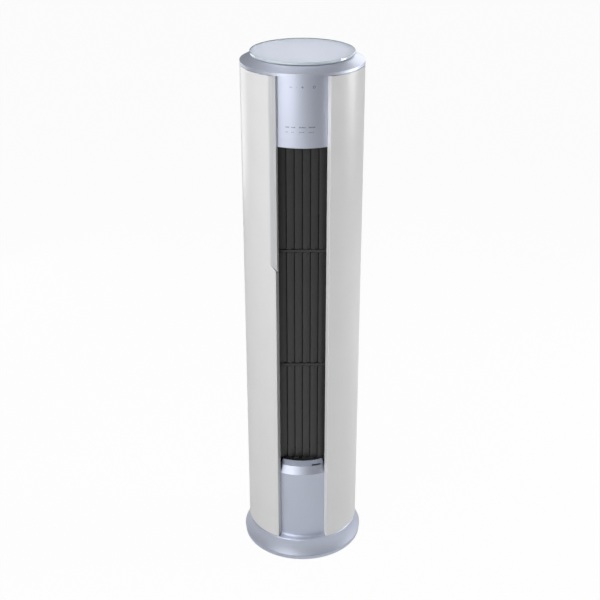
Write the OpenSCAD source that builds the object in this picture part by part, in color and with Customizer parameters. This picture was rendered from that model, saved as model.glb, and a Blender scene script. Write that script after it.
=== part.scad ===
// Floor standing air conditioner: a round tower with a vertical cross-flow fan.
// The tower stands on the origin, its axis is Z and its air outlet faces -Y.
// Angles are counted from the front, positive towards +X.

/* [Side panels] */
// Diameter over the side panels
cabinet_d = 386; // [380:1:392]
// Wall of the side panels and of the rear housing
panel_t = 3; // [2.4:0.1:3.4]
// Height of the side panels
panel_h = 1652; // [1640:1:1700]
// Half angle of the front opening between the panels
opening_half = 25.9; // [25:0.1:26.2]
// Wall of the panels' return flanges
return_t = 2.5; // [2:0.1:3]
// Depth of the recess, from the panels' face to the display's face
recess_depth = 21; // [19:0.5:23]
// Gap that shows between neighbouring covers
seam = 2; // [1.5:0.1:2.4]

/* [Door hinge] */
// Depth of the hinge axis inside the side panels' face
hinge_inset = 8; // [7.6:0.1:8.4]
// Angle of the hinge axis from the front
hinge_angle = 97; // [96:0.1:97.5]
// Diameter of the hinge pins
hinge_pin_d = 5; // [4:0.1:6]

/* [Grip] */
// Height of the grip's lower end above the floor, at the panel's face
grip_z = 1119; // [1000:1:1200]
// Width of the grip strip along the panel's face, as an angle
grip_angle = 4.7; // [4.2:0.1:5.2]
// Depth to which the grip cuts back the panel's front edge
grip_depth = 9; // [8:0.1:10]
// Thickness of the grip strip
grip_t = 2; // [1.5:0.1:2.5]
// Slope of the grip's lower end
grip_slope = 45; // [35:1:50]
// Height of the notch between the strip's lower end and the end of its pocket
grip_notch = 6; // [4:0.5:8]

/* [Base] */
// Diameter of the flared base
base_d = 420; // [418:1:430]
// Height of the rubber feet
foot_h = 6; // [5:0.1:8]
// Diameter of the rubber feet
foot_d = 36; // [30:1:44]
// Thickness of the steel base plate
plate_t = 3; // [2:0.1:4]
// Height of the base's shelf, on which the covers stand
shelf_z = 75; // [72:1:84]
// Wall of the moulded base
base_t = 2.5; // [2:0.1:3]
// Height of the lip under the base's groove
lip_h = 13; // [11:0.1:15]
// Height of the groove
groove_h = 3; // [2:0.1:4]

/* [Cap] */
// Height of the cap ring's upright edge
cap_edge_h = 9; // [7:0.1:11]
// Height of the cap ring's slope
cap_slope_h = 17; // [14:0.1:19]
// Diameter of the cap's flat deck
deck_d = 318; // [312:1:322]
// Diameter of the glass disc
glass_d = 324; // [322:1:330]
// Thickness of the glass disc
glass_t = 9; // [6:0.1:10]

/* [Front covers] */
// Wall of the display panel and of the lower cover
face_t = 2.5; // [2:0.1:3]
// Height of the display panel
display_h = 221; // [200:1:230]
// Height of the lower cover's upright face
cover_h = 259; // [250:1:270]
// Height of the bright sloping band above it
band_h = 26; // [21:0.5:28]
// Set-back of the band's upper edge
band_depth = 14; // [12:0.5:15]
// Height of the outlet sill's slope
sill_h = 19; // [15:0.5:22]
// Set-back of the sill's inner edge from the band
sill_depth = 7; // [6:0.5:8]

/* [Outlet] */
// Distance of the vanes' axes from the tower's axis
vane_y = 125; // [123:0.5:126]
// Spacing of the vanes
vane_pitch = 25.4; // [25:0.1:25.6]
// Chord of a vane
vane_chord = 23.8; // [22:0.1:24]
// Greatest thickness of a vane
vane_t = 2.6; // [2:0.1:3.2]
// Angle by which the parked vanes stand open
vane_rest = 12; // [8:1:16]
// Height by which the vanes run up behind the display panel
vane_cover = 32; // [28:1:36]
// Height of the lower crossbar above the floor
bar_low_z = 746; // [720:1:780]
// Height of the upper crossbar above the floor
bar_high_z = 1156; // [1120:1:1180]
// Diameter of the vanes' journals
journal_d = 5; // [4.4:0.1:5.2]
// Throw of the vanes' cranks
crank_r = 14; // [12:0.1:15]

/* [Fan] */
// Diameter of the cross-flow wheel
wheel_d = 120; // [112:1:122]
// Number of blades
blade_count = 32; // [24:1:36]
// Number of sections of the wheel
wheel_sections = 8; // [6:1:9]
// Thickness of a wheel blade
wheel_blade_t = 1.4; // [1.2:0.1:1.8]
// Distance of the fan's axis in front of the tower's axis
fan_y = 12; // [9:0.5:14]
// Diameter of the motor shaft
shaft_d = 12; // [10:0.5:14]

/* [Heat exchanger] */
// Inner radius of the bent fin block
coil_r = 120; // [118:0.5:123]
// Depth of the fin block
coil_depth = 38; // [32:0.5:40]
// Diameter of the copper bends
bend_d = 7; // [6:0.1:8]
// Number of bends at the top of the fin block
bend_count = 12; // [8:1:14]

/* [Rear housing] */
// Width of a grille slot
slot_w = 6; // [5:0.1:7]
// Height of a grille slot
slot_h = 180; // [160:1:188]
// Number of slot rows
slot_rows = 6; // [4:1:6]
// Number of slots in a row
slot_columns = 36; // [28:1:37]
// Inner radius of the pipe collar
collar_r = 30; // [27:0.5:33]
// Height of the pipe collar above the floor
collar_z = 175; // [165:1:200]

/* [Hidden] */
$fn = 96;

// Clearances
fit_gap = 0.3;
run_gap = 0.1;
cut = 1;

// Side panels and the radii that follow from them
panel_r = cabinet_d / 2;
panel_in = panel_r - panel_t;
face_r = panel_r - recess_depth;
face_in = face_r - face_t;
cover_lap = 1.1;
face_half = opening_half + cover_lap;
edge_round = 2.5;
panel_z = shelf_z + seam;
panel_top = panel_z + panel_h;

// Door hinge
hinge_r = panel_r - hinge_inset;
tail_r = hinge_inset + 1;
tail_gap = 1;
lug_r = hinge_inset - panel_t + 1.5;
lug_t = 4;
lug_inset = 0.2;
collar_step = 2.5;
pin_depth = 13;
pin_reach = 6;
pin_boss_r = 7;

// Locating rims on the base and under the cap
rim_t = 3;
rim_h = 14;
rim_r = panel_in - fit_gap;
rim_in = rim_r - rim_t;
rim_start = opening_half + grip_angle + 4;
rim_stop = hinge_angle - 3.5;
rim_rear = hinge_angle + 4.5;

// Base
plate_z = foot_h;
plate_top = plate_z + plate_t;
plinth_gap = 3;
base_r = base_d / 2;
lip_r = base_r - 2;
groove_r = base_r - 5.5;
groove_z = plinth_gap + lip_h;
skirt_z = groove_z + groove_h;
shoulder_r = panel_r + 1;
shoulder_round = 5;
skirt_flare = 1.8;
skirt_steps = 8;
shelf_in = 184;
plate_r = lip_r - 10;
base_screw_r = plate_r - 7;
base_screw_count = 6;
foot_edge = 10;
foot_pos_r = plate_r - foot_d / 2 - foot_edge;
stud_d = 8;
service_hole_r = 45;

// Cap
cap_z = panel_top + seam;
cone_z = cap_z + cap_edge_h;
deck_z = cone_z + cap_slope_h;
deck_r = deck_d / 2;
cap_t = 2.5;
gasket_h = 2;
gasket_r = 146;
gasket_w = 12;
glass_z = deck_z + gasket_h;
glass_r = glass_d / 2;
glass_edge = 1;
cap_post_r = 120;
cap_post_angles = [50, 140, 220, 310];
cap_boss_r = 6;
cap_lip = 0.5;
cap_pin_h = 7;

// Chassis
column_t = 2;
column_x = 104;
flange_in_x = 82;
flange_clear = 7;
frame_y = sqrt(pow(panel_in - flange_clear, 2) - column_x * column_x);
flange_t = 3;
column_y = frame_y - flange_t;
column_back_y = 2;
column_foot_x = coil_r + coil_depth + 2;
top_plate_t = 2;
top_plate_z = panel_top - 16;
top_plate_r = 184;
wiring_hole_r = 32;
wiring_hole_y = 130;
screw_d = 4;
screw_head_d = 8;
screw_head_h = 2.2;

// Front covers
display_z = panel_top - display_h;
cover_top = shelf_z + cover_h;
band_top = cover_top + band_h;
band_r = face_r - band_depth;
sill_r = band_r - sill_depth;
sill_top = band_top + sill_h;
cover_foot = 8;
tab_h = 20;
tab_out_x = 98;
board_x = 48;
board_y = 150;
board_t = 1.6;
board_edge = 12;
board_boss_r = 4;
icon_pitch = 36;

// Outlet frame and vanes
frame_t = 3;
frame_x = flange_in_x - 1;
front_screw_x = (frame_x + tab_out_x) / 2 + 1;
frame_in_x = frame_x - frame_t;
frame_back_y = 112;
frame_z = sill_top - 16;
sill_bar_h = 8;
sill_bar_top = frame_z + sill_bar_h;
blade_z = sill_top + 2;
blade_top = display_z + vane_cover;
head_bar_z = blade_top + 4;
frame_top = head_bar_z + sill_bar_h;
end_bar_y = 5;
crossbar_y = 4;
crossbar_h = 8;
notch_gap = 2.5;
journal_r = journal_d / 2;
bearing_r = journal_r + run_gap;
crank_z = frame_top + 1;
crank_t = 4;
crank_w = 8;
crank_rest = 25;
crank_pin_r = 2;
link_z = crank_z + crank_t + fit_gap;
link_t = 3;
link_w = 9;
vane_count = 6;
driven_vane = 3;
vane_tip_t = 0.9;
stepper_r = 14;
stepper_h = 19;
stepper_offset = 8;
stepper_ear_t = 1.2;

// Air duct
end_plate_t = 3;
duct_z = sill_bar_top;
duct_top = head_bar_z;
duct_t = 2.5;
end_plate_x = column_x - column_t - fit_gap;
end_plate_back = 72;
wheel_r = wheel_d / 2;
wheel_z = duct_z + 6;
wheel_top = duct_top - 10;
ring_w = 13;
disc_t = 2.5;
hub_r = 15;
hub_h = 22;
stub_r = 4;
bearing_out_r = 11;
bearing_h = 12;
scroll_gap = 6;
scroll_start = 205;
scroll_stop = 84;
scroll_steps = 14;
tongue_gap = 4;
tongue_lip_r = 5;
tongue_angle = 62;

// The scroll widens steadily until its wall nearly meets the column
scroll_growth = ln((end_plate_x - duct_t - 1) / (wheel_r + scroll_gap)) / (scroll_start - scroll_stop);
scroll_angles = [for (i = [0 : scroll_steps])
    scroll_start + (scroll_stop - scroll_start) * i / scroll_steps];

// Fan motor
motor_r = 50;
motor_h = 62;
motor_top = duct_z - end_plate_t - 16;
motor_mid = motor_top - motor_h / 2;
motor_edge = 12;
motor_bevel = 10;
motor_ear_r = 62;
motor_ear_w = 16;
motor_ear_t = 4;
motor_ear_angles = [60, 180, 300];
motor_post_r = 5;
motor_ring_r = motor_r + 6;
motor_ring_t = 3;

// Heat exchanger and drain
coil_out = coil_r + coil_depth;
coil_mid = coil_r + coil_depth / 2;
coil_z = duct_z + 4;
coil_top = duct_top;
bracket_t = 2;
pan_z = coil_z - 34;
pan_h = 24;
pan_t = 2;
bend_row_in = coil_r + coil_depth * 0.27;
bend_row_out = coil_r + coil_depth * 0.73;
spout_r = 8;
spout_angle = 200;
spout_h = 14;
pan_edge = 6;

// Refrigerant pipes
pipe_x = 13;
pipe_turn = 20;
pipe_lead = 6;
header_h = 60;
gas_r = 6.35;
gas_nut = 24;
liquid_r = 3.2;
liquid_nut = 17;
nut_h = 20;
nut_clear = 8;

// Electrics
box_x = 72;
box_front = 62;
box_back = 58;
box_t = 2;
box_gap = 51;
box_z = frame_top + box_gap;
terminal_w = 22;
terminal_y = -110;
terminal_l = 70;
terminal_z = 225;
terminal_h = 37;
terminal_count = 5;

// Rear housing, filter and collar
housing_start = hinge_angle + 1;
grille_z = 430;
grille_pitch = 200;
slot_pitch = 3.6;
filter_t = 5;
filter_bar = 9;
filter_half = 76;
filter_z = grille_z - 16;
filter_top = grille_z + grille_pitch * slot_rows + 4;
collar_wall = 2.7;
collar_flange = 9;
collar_in_y = 178;
collar_out_y = panel_r + 4;
collar_lead = 5;
collar_reach = 2 * (collar_out_y - collar_in_y);
gland_r = 5;
gland_wall = 2;
gland_rim = 2;
gland_rim_t = 3;
gland_l = 15;
gland_angle = 180;
gland_z = 112;
housing_screw_angles = [115, 165, 195, 245];

// Door catch
catch_w = 15;
catch_x = column_x - catch_w / 2 - 1;
catch_h = 40;
catch_heights = [cover_top + 200, grip_z - 2 * catch_h];
catch_y = sqrt(pow(panel_in - fit_gap, 2) - pow(catch_x + catch_w / 2, 2)) - 1;

// Wall bracket
bracket_y = panel_r + fit_gap;
bracket_z = panel_top - 50;
bracket_sheet = 2;
bracket_reach = 13;
bracket_half = 30;
bracket_step = 28;
bracket_lip = 24;
bracket_screw_x = 20;
bracket_screw_z = bracket_z + 12;
wall_hole_x = 20;
wall_hole_r = 3;
wall_hole_h = 13;

// Colours
white = [0.91, 0.91, 0.90];
silver_blue = [0.72, 0.75, 0.83];
dark_grey = [0.20, 0.20, 0.20];
steel = [0.70, 0.71, 0.73];

function polar(r, a) = [r * sin(a), -r * cos(a)];

// Length rounded down to a tenth of a millimetre
function tenth(v) = floor(v * 10) / 10;

// Places its children at radius r and angle a, with their -Y side facing outwards
module on_circle(r, a) {
    rotate([0, 0, a]) translate([0, -r, 0]) children();
}

// Wall between two radii, from angle a0 to a1 and from height z0 to z1
module arc_wall(r_in, r_out, a0, a1, z0, z1) {
    rotate([0, 0, a0 - 90])
        rotate_extrude(angle = a1 - a0)
            translate([r_in, z0]) square([r_out - r_in, z1 - z0]);
}

// Profile of radius and height, swept from angle a0 to a1
module arc_profile(points, a0, a1) {
    rotate([0, 0, a0 - 90]) rotate_extrude(angle = a1 - a0) polygon(points);
}

// Full ring between two radii
module ring(r_in, r_out, z0, z1) {
    rotate_extrude() translate([r_in, z0]) square([r_out - r_in, z1 - z0]);
}

// Block between two corners
module block(low, high) {
    translate(low) cube(high - low);
}

// Upright cylinder at a place, from height z0 to z1
module post(place, r, z0, z1) {
    translate([place[0], place[1], z0]) cylinder(r = r, h = z1 - z0, $fn = 48);
}

// Screw along +Y with its head in front of the face at y
module screw_y(x, y, z, length) {
    translate([x, y, z]) rotate([-90, 0, 0]) {
        translate([0, 0, -screw_head_h]) cylinder(d = screw_head_d, h = screw_head_h, $fn = 32);
        cylinder(d = screw_d, h = length, $fn = 32);
    }
}

module hole_y(x, y, z, length) {
    translate([x, y - cut, z]) rotate([-90, 0, 0])
        cylinder(d = screw_d + 2 * run_gap, h = length + 2 * cut, $fn = 32);
}

module mirrored() {
    children();
    mirror([1, 0, 0]) children();
}

// Base plate, feet and base moulding

module base_screw_places() {
    for (i = [0 : base_screw_count - 1])
        rotate([0, 0, (i + 0.5) * 360 / base_screw_count]) translate([0, -base_screw_r, 0])
            children();
}

module foot_places() {
    for (a = [45 : 90 : 315]) on_circle(foot_pos_r, a) children();
}

module base_plate() {
    color("dimgray") difference() {
        ring(service_hole_r, plate_r, plate_z, plate_top);
        base_screw_places() translate([0, 0, plate_z - cut])
            cylinder(d = screw_d + 2 * run_gap, h = plate_t + 2 * cut, $fn = 32);
        foot_places() translate([0, 0, plate_z - cut])
            cylinder(d = stud_d + 2 * run_gap, h = plate_t + 2 * cut, $fn = 32);
    }
}

module rubber_feet() {
    color("black") foot_places() {
        rotate_extrude() polygon([
            [0, 0], [foot_d / 2 - 2, 0], [foot_d / 2, 2], [foot_d / 2 - 1, foot_h], [0, foot_h]
        ]);
        translate([0, 0, foot_h - cut]) cylinder(d = stud_d, h = plate_t + cut + 1, $fn = 32);
        translate([0, 0, plate_top]) cylinder(d1 = stud_d + 3, d2 = stud_d - 1, h = 3, $fn = 32);
    }
}

module base_screws() {
    color(steel) base_screw_places() {
        translate([0, 0, plate_z - screw_head_h])
            cylinder(d = screw_head_d, h = screw_head_h, $fn = 32);
        translate([0, 0, plate_z - cut])
            cylinder(d = screw_d, h = plate_t + base_t + cut, $fn = 32);
    }
}

// Point of the flared skirt at share k of its height, set in by a wall
function skirt_point(k, wall) = [
    shoulder_r + (base_r - shoulder_r) * pow(1 - k, skirt_flare) - wall,
    skirt_z + (shelf_z - shoulder_round - skirt_z) * k
];

// Rounded shoulder between the skirt and the shelf
function shoulder_point(a) = [
    shoulder_r - shoulder_round * (1 - cos(a)),
    shelf_z - shoulder_round * (1 - sin(a))
];

module base_plinth() {
    skirt = [for (i = [0 : skirt_steps]) skirt_point(i / skirt_steps, 0)];
    lining = [for (i = [skirt_steps : -1 : 1]) skirt_point(i / skirt_steps, base_t)];
    shoulder = [for (a = [22.5 : 22.5 : 90]) shoulder_point(a)];
    color(silver_blue) difference() {
        union() {
            rotate_extrude() polygon(concat(
                [[lip_r, plinth_gap], [lip_r, groove_z], [groove_r, groove_z], [groove_r, skirt_z]],
                skirt, shoulder,
                [[shelf_in, shelf_z], [shelf_in, shelf_z - base_t],
                    [shoulder_r - base_t, shelf_z - base_t]],
                lining,
                [[base_r - base_t, skirt_z + base_t], [groove_r - base_t, skirt_z + base_t],
                    [groove_r - base_t, plate_top + base_t],
                    [base_screw_r - 8, plate_top + base_t], [base_screw_r - 8, plate_top],
                    [lip_r - base_t, plate_top], [lip_r - base_t, plinth_gap]]
            ));
            arc_wall(face_in - 8, shelf_in + cut, -face_half, face_half, shelf_z - base_t, shelf_z);
            mirrored() arc_wall(rim_in, rim_r, rim_start, rim_stop, shelf_z - cut, shelf_z + rim_h);
            arc_wall(rim_in, rim_r, rim_rear, 360 - rim_rear, shelf_z - cut, shelf_z + rim_h);
            post(polar(hinge_r, -hinge_angle), pin_boss_r, shelf_z - pin_depth - 3, shelf_z);
        }
        post(polar(hinge_r, -hinge_angle), hinge_pin_d / 2 + run_gap, shelf_z - pin_depth - 1,
            shelf_z + cut);
        base_screw_places() translate([0, 0, plate_top - cut])
            cylinder(d = screw_d + 2 * run_gap, h = base_t + 2 * cut, $fn = 32);
        housing_screw_holes();
    }
}

// Chassis

module column() {
    front = -column_y;
    difference() {
        translate([0, 0, plate_top]) linear_extrude(top_plate_z - plate_top) polygon([
            [flange_in_x, front], [column_x, front], [column_x, -column_back_y - column_t],
            [column_foot_x, -column_back_y - column_t], [column_foot_x, -column_back_y],
            [column_x - column_t, -column_back_y], [column_x - column_t, front + column_t],
            [flange_in_x, front + column_t]
        ]);
        for (z = front_screw_heights()) hole_y(front_screw_x, front, z, column_t);
    }
}

function cover_tabs() = [shelf_z + 30, cover_top - 40];
function frame_tabs() = [frame_z + 60, bar_low_z, bar_high_z, frame_top - 60];
function display_tabs() = [frame_top + 6 + tab_h / 2, panel_top - 30];
function front_screw_heights() = concat(cover_tabs(), frame_tabs(), display_tabs());

module left_column() {
    color(steel) mirror([1, 0, 0]) column();
}

module right_column() {
    color(steel) column();
}

module top_plate() {
    color(steel) difference() {
        translate([0, 0, top_plate_z]) cylinder(r = top_plate_r, h = top_plate_t);
        block([-panel_r, -panel_r, top_plate_z - cut],
            [panel_r, -column_y, top_plate_z + top_plate_t + cut]);
        cap_post_places() translate([0, 0, top_plate_z - cut])
            cylinder(d = screw_d + 2 * run_gap, h = top_plate_t + 2 * cut, $fn = 32);
        translate([0, wiring_hole_y, top_plate_z - cut])
            cylinder(r = wiring_hole_r, h = top_plate_t + 2 * cut);
        mirrored() post(polar(hinge_r, hinge_angle), tail_r + 1.5, top_plate_z - cut,
            top_plate_z + top_plate_t + cut);
    }
}

// Screws of the cover tabs, the outlet frame and the display tabs, in both columns
module front_screws() {
    color(steel) mirrored() {
        for (z = front_screw_heights()) screw_y(front_screw_x, -column_y - flange_t, z, 9);
    }
}

// Fixing tab of a front cover: it runs from the cover's side edge to the column
module cover_tab(z) {
    edge = polar(face_r - 0.5, face_half - 1);
    difference() {
        union() {
            block([edge[0] - 2, edge[1] + 0.6, z - tab_h / 2], [edge[0] + 1, -column_y, z + tab_h / 2]);
            block([edge[0], -column_y - flange_t, z - tab_h / 2],
                [tab_out_x, -column_y, z + tab_h / 2]);
        }
        hole_y(front_screw_x, -column_y - flange_t, z, flange_t);
    }
}

// Front covers

module display_panel() {
    lip = 1.5;
    color(silver_blue) union() {
        arc_profile([
            [face_in, display_z], [face_r - lip, display_z], [face_r, display_z + lip],
            [face_r, panel_top], [face_in, panel_top]
        ], -face_half, face_half);
        arc_wall(face_in - 10, face_in + 0.5, -face_half, face_half, display_z, display_z + face_t);
        mirrored() for (z = display_tabs()) cover_tab(z);
        for (x = [-board_x, board_x], z = board_heights()) board_boss(x, z);
    }
}

function board_heights() = [panel_top - 30, display_z + 48];

module board_boss(x, z) {
    front = sqrt(face_in * face_in - board_x * board_x) + 1;
    translate([x, -front, z]) rotate([-90, 0, 0])
        cylinder(r = board_boss_r, h = front - board_y, $fn = 32);
}

module display_board() {
    half = board_x + 8;
    low = board_heights()[1] - board_edge;
    high = board_heights()[0] + board_edge;
    sensor_z = high - 22;
    sensor_h = 6;
    connector_z = low + 22;
    connector_h = 18;
    connector_half = half - board_edge;
    color("darkgreen") union() {
        block([-half, -board_y, low], [half, -board_y + board_t, high]);
        for (x = [-icon_pitch, 0, icon_pitch])
            translate([x, -board_y - sensor_h, sensor_z]) rotate([-90, 0, 0])
                cylinder(r = 5, h = sensor_h + board_t / 2, $fn = 32);
        block([-connector_half, -board_y - 5, connector_z],
            [connector_half, -board_y + board_t / 2, connector_z + connector_h]);
    }
}

module lower_cover() {
    foot = [for (a = [0 : 22.5 : 90])
        [face_r + cover_foot * (1 - sin(a)), shelf_z + cover_foot * (1 - cos(a))]];
    foot_half = opening_half - 0.5;
    color(silver_blue) union() {
        arc_profile([
            [face_in, shelf_z], [face_r, shelf_z], [face_r, cover_top], [band_r, band_top],
            [band_r - face_t, band_top], [face_in, cover_top - face_t / 2]
        ], -face_half, face_half);
        arc_profile(concat(
            [[face_in + 1, shelf_z]], foot, [[face_in + 1, shelf_z + cover_foot - 0.05]]
        ), -foot_half, foot_half);
        mirrored() for (z = cover_tabs()) cover_tab(z);
    }
}

// Grey sill between the band and the vanes, with a small slot at the right end of its foot
module outlet_sill() {
    slot_x = 33;
    slot_l = 29;
    slot_top = band_top + 6;
    color([0.56, 0.56, 0.64]) difference() {
        arc_profile([
            [band_r - face_t, band_top + fit_gap], [band_r, band_top + fit_gap],
            [band_r, band_top + fit_gap + 1], [sill_r, sill_top], [sill_r - 2, sill_top],
            [sill_r - 2, sill_top - 3]
        ], -face_half, face_half);
        block([slot_x, -band_r - cut, band_top], [slot_x + slot_l, -sill_r / 2, slot_top]);
    }
}

// Outlet frame, vanes and their drive

function vane_x(i) = (i - (vane_count + 1) / 2) * vane_pitch;

module outlet_frame() {
    half = frame_in_x + 0.5;
    color(dark_grey) difference() {
        union() {
            mirrored() {
                block([frame_in_x, -frame_y, frame_z], [frame_x, -frame_back_y, frame_top]);
                block([frame_in_x, -frame_y, frame_z], [column_x, -column_y, frame_top]);
            }
            block([-half, -vane_y - end_bar_y, frame_z], [half, -vane_y + end_bar_y, sill_bar_top]);
            block([-half, -vane_y - end_bar_y, head_bar_z], [half, -vane_y + end_bar_y, frame_top]);
            for (z = [bar_low_z, bar_high_z])
                block([-half, -vane_y - crossbar_y, z - crossbar_h / 2],
                    [half, -vane_y + crossbar_y, z + crossbar_h / 2]);
        }
        for (i = [1 : vane_count])
            translate([vane_x(i), -vane_y, frame_z - cut])
                cylinder(r = bearing_r, h = frame_top - frame_z + 2 * cut, $fn = 48);
        mirrored() for (z = frame_tabs()) hole_y(front_screw_x, -column_y - flange_t, z, flange_t);
    }
}

// Lens-shaped section of a vane, between two arcs
module vane_section() {
    half = vane_chord / 2;
    bulge = (vane_t - vane_tip_t) / 2;
    arc_r = (half * half + bulge * bulge) / (2 * bulge);
    intersection() {
        translate([0, vane_t / 2 - arc_r]) circle(r = arc_r, $fn = 360);
        translate([0, arc_r - vane_t / 2]) circle(r = arc_r, $fn = 360);
        square([vane_chord, vane_chord], center = true);
    }
}

module vane(i) {
    notch = crossbar_h / 2 + notch_gap;
    sleeve = 8;
    bottom = i == driven_vane ? frame_z - 6 : frame_z + 1;
    levels = [blade_z, bar_low_z - notch, bar_low_z + notch, bar_high_z - notch,
        bar_high_z + notch, blade_top];
    color([0.25, 0.25, 0.25]) translate([vane_x(i), -vane_y, 0]) union() {
        rotate([0, 0, vane_rest])
            for (k = [0 : 2 : 4])
                translate([0, 0, levels[k]])
                    linear_extrude(levels[k + 1] - levels[k]) vane_section();
        post([0, 0], journal_r, bottom, blade_z + sleeve);
        for (z = [bar_low_z, bar_high_z]) post([0, 0], journal_r, z - notch - sleeve, z + notch + sleeve);
        post([0, 0], journal_r, blade_top - sleeve, crank_z + crank_t);
        rotate([0, 0, crank_rest]) {
            block([0, -crank_w / 2, crank_z], [crank_r, crank_w / 2, crank_z + crank_t]);
            post([0, 0], crank_w / 2, crank_z, crank_z + crank_t);
            post([crank_r, 0], crank_w / 2, crank_z, crank_z + crank_t);
            post([crank_r, 0], crank_pin_r, crank_z + cut, link_z + link_t + 2);
        }
    }
}

// Place of the crank pin of vane i
function crank_pin(i) = [
    vane_x(i) + crank_r * cos(crank_rest),
    -vane_y + crank_r * sin(crank_rest)
];

module vane_link() {
    first = crank_pin(1);
    last = crank_pin(vane_count);
    color("white") difference() {
        union() {
            block([first[0], first[1] - link_w / 2, link_z],
                [last[0], first[1] + link_w / 2, link_z + link_t]);
            post(first, link_w / 2, link_z, link_z + link_t);
            post(last, link_w / 2, link_z, link_z + link_t);
        }
        for (i = [1 : vane_count])
            post(crank_pin(i), crank_pin_r + run_gap, link_z - cut, link_z + link_t + cut);
    }
}

module vane_motor() {
    x = vane_x(driven_vane);
    color(steel) difference() {
        union() {
            post([x, stepper_offset - vane_y], stepper_r, frame_z - stepper_h, frame_z - fit_gap);
            block([x - 21, stepper_offset - vane_y - 3.5, frame_z - stepper_ear_t],
                [x + 21, stepper_offset - vane_y + 3.5, frame_z]);
            block([x - 8, stepper_offset - vane_y, frame_z - stepper_h + 2],
                [x + 8, stepper_offset - vane_y + stepper_r + 3, frame_z - 2]);
        }
        post([x, -vane_y], bearing_r, frame_z - 8, frame_z + cut);
        for (side = [-1, 1])
            post([x + side * 17.5, stepper_offset - vane_y], 2.1, frame_z - 4, frame_z + cut);
    }
}

// Air duct

// Distance of the scroll wall's inner face from the fan's axis at angle a
function scroll_r(a) = (wheel_r + scroll_gap) * exp(scroll_growth * (scroll_start - a));

// Point of the scroll wall, with its angle counted from the front and running to -X
function scroll_point(a, wall) = [
    -(scroll_r(a) + wall) * sin(a),
    -fan_y - (scroll_r(a) + wall) * cos(a)
];

module scroll_wall() {
    inner = [for (a = scroll_angles) scroll_point(a, 0)];
    outer = [for (i = [scroll_steps : -1 : 0]) scroll_point(scroll_angles[i], duct_t)];
    color("lightgray") translate([0, 0, duct_z]) linear_extrude(duct_top - duct_z) polygon(concat(
        inner,
        [[-frame_in_x, -frame_back_y + 8], [-frame_in_x, -frame_back_y],
            [-frame_x, -frame_back_y], [-frame_x, -frame_back_y + 9]],
        outer
    ));
}

// Tongue on the other side of the fan: a rounded lip close to the wheel, a wall from it to the
// outlet frame and a web from it to the column
module tongue_wall() {
    reach = wheel_r + tongue_gap + tongue_lip_r;
    lip = [reach * sin(tongue_angle), -fan_y - reach * cos(tongue_angle)];
    web_t = 3;
    color("lightgray") translate([0, 0, duct_z]) linear_extrude(duct_top - duct_z) union() {
        translate(lip) circle(r = tongue_lip_r, $fn = 48);
        polygon([
            lip + [-tongue_lip_r * 0.8, 0], [frame_in_x, -frame_back_y + 8],
            [frame_in_x, -frame_back_y], [frame_x, -frame_back_y], [frame_x, -frame_back_y + 12],
            lip + [tongue_lip_r, -web_t], [end_plate_x, lip[1] - web_t],
            [end_plate_x, lip[1]], lip
        ]);
    }
}

module end_plate(z, hole_r) {
    front = -vane_y + end_bar_y + fit_gap;
    inner_x = frame_in_x - fit_gap;
    shoulder = -frame_back_y + fit_gap;
    waist = 20;
    back_x = 40;
    difference() {
        translate([0, 0, z]) linear_extrude(end_plate_t) difference() {
            polygon([
                [-end_plate_x, shoulder], [-inner_x, shoulder], [-inner_x, front],
                [inner_x, front], [inner_x, shoulder], [end_plate_x, shoulder],
                [end_plate_x, waist], [back_x, end_plate_back], [-back_x, end_plate_back],
                [-end_plate_x, waist]
            ]);
            translate([0, -fan_y]) circle(r = hole_r, $fn = 64);
        }
        motor_post_places() post([0, 0], screw_d / 2 + run_gap, z - cut, z + end_plate_t + cut);
    }
}

module lower_end_plate() {
    color(steel) end_plate(duct_z - end_plate_t, 22);
}

module upper_end_plate() {
    color(steel) end_plate(duct_top, bearing_out_r + run_gap);
}

// Fan

// One blade of the wheel: a thin arc that leans forward
module wheel_blade() {
    bend_r = ring_w * 0.75;
    translate([wheel_r - ring_w / 2, -bend_r * 0.62]) intersection() {
        difference() {
            circle(r = bend_r + wheel_blade_t / 2, $fn = 64);
            circle(r = bend_r - wheel_blade_t / 2, $fn = 64);
        }
        translate([-ring_w * 0.46, 0]) square([ring_w * 0.92, bend_r * 2]);
    }
}

module fan_wheel() {
    pitch = (wheel_top - wheel_z - disc_t) / wheel_sections;
    color([0.16, 0.16, 0.17]) translate([0, -fan_y, 0]) difference() {
        union() {
            translate([0, 0, wheel_z]) linear_extrude(wheel_top - wheel_z)
                for (i = [0 : blade_count - 1]) rotate(i * 360 / blade_count) wheel_blade();
            for (k = [1 : wheel_sections - 1])
                ring(wheel_r - ring_w, wheel_r, wheel_z + k * pitch, wheel_z + k * pitch + disc_t);
            ring(0, wheel_r, wheel_z, wheel_z + disc_t);
            ring(0, wheel_r, wheel_top - disc_t, wheel_top);
            ring(0, hub_r, wheel_z, wheel_z + hub_h);
            ring(0, hub_r, wheel_top - hub_h, wheel_top);
        }
        post([0, 0], shaft_d / 2 + run_gap, wheel_z - cut, wheel_z + hub_h - 3);
        post([0, 0], stub_r + run_gap, wheel_top - hub_h + 3, wheel_top + cut);
    }
}

// Motor shaft below and stub shaft above, both fast in the wheel's hubs
module fan_shafts() {
    color("silver") translate([0, -fan_y, 0]) {
        post([0, 0], shaft_d / 2, motor_top - 20, wheel_z + hub_h - 4);
        post([0, 0], stub_r, wheel_top - hub_h + 4, duct_top + bearing_h);
    }
}

module fan_bearing() {
    color("black") translate([0, -fan_y, 0]) difference() {
        union() {
            post([0, 0], bearing_out_r, duct_top - 4, duct_top + bearing_h - 2);
            post([0, 0], bearing_out_r + 5, duct_top + end_plate_t, duct_top + end_plate_t + 3);
        }
        post([0, 0], stub_r + run_gap, duct_top - 5, duct_top + bearing_h);
    }
}

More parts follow.
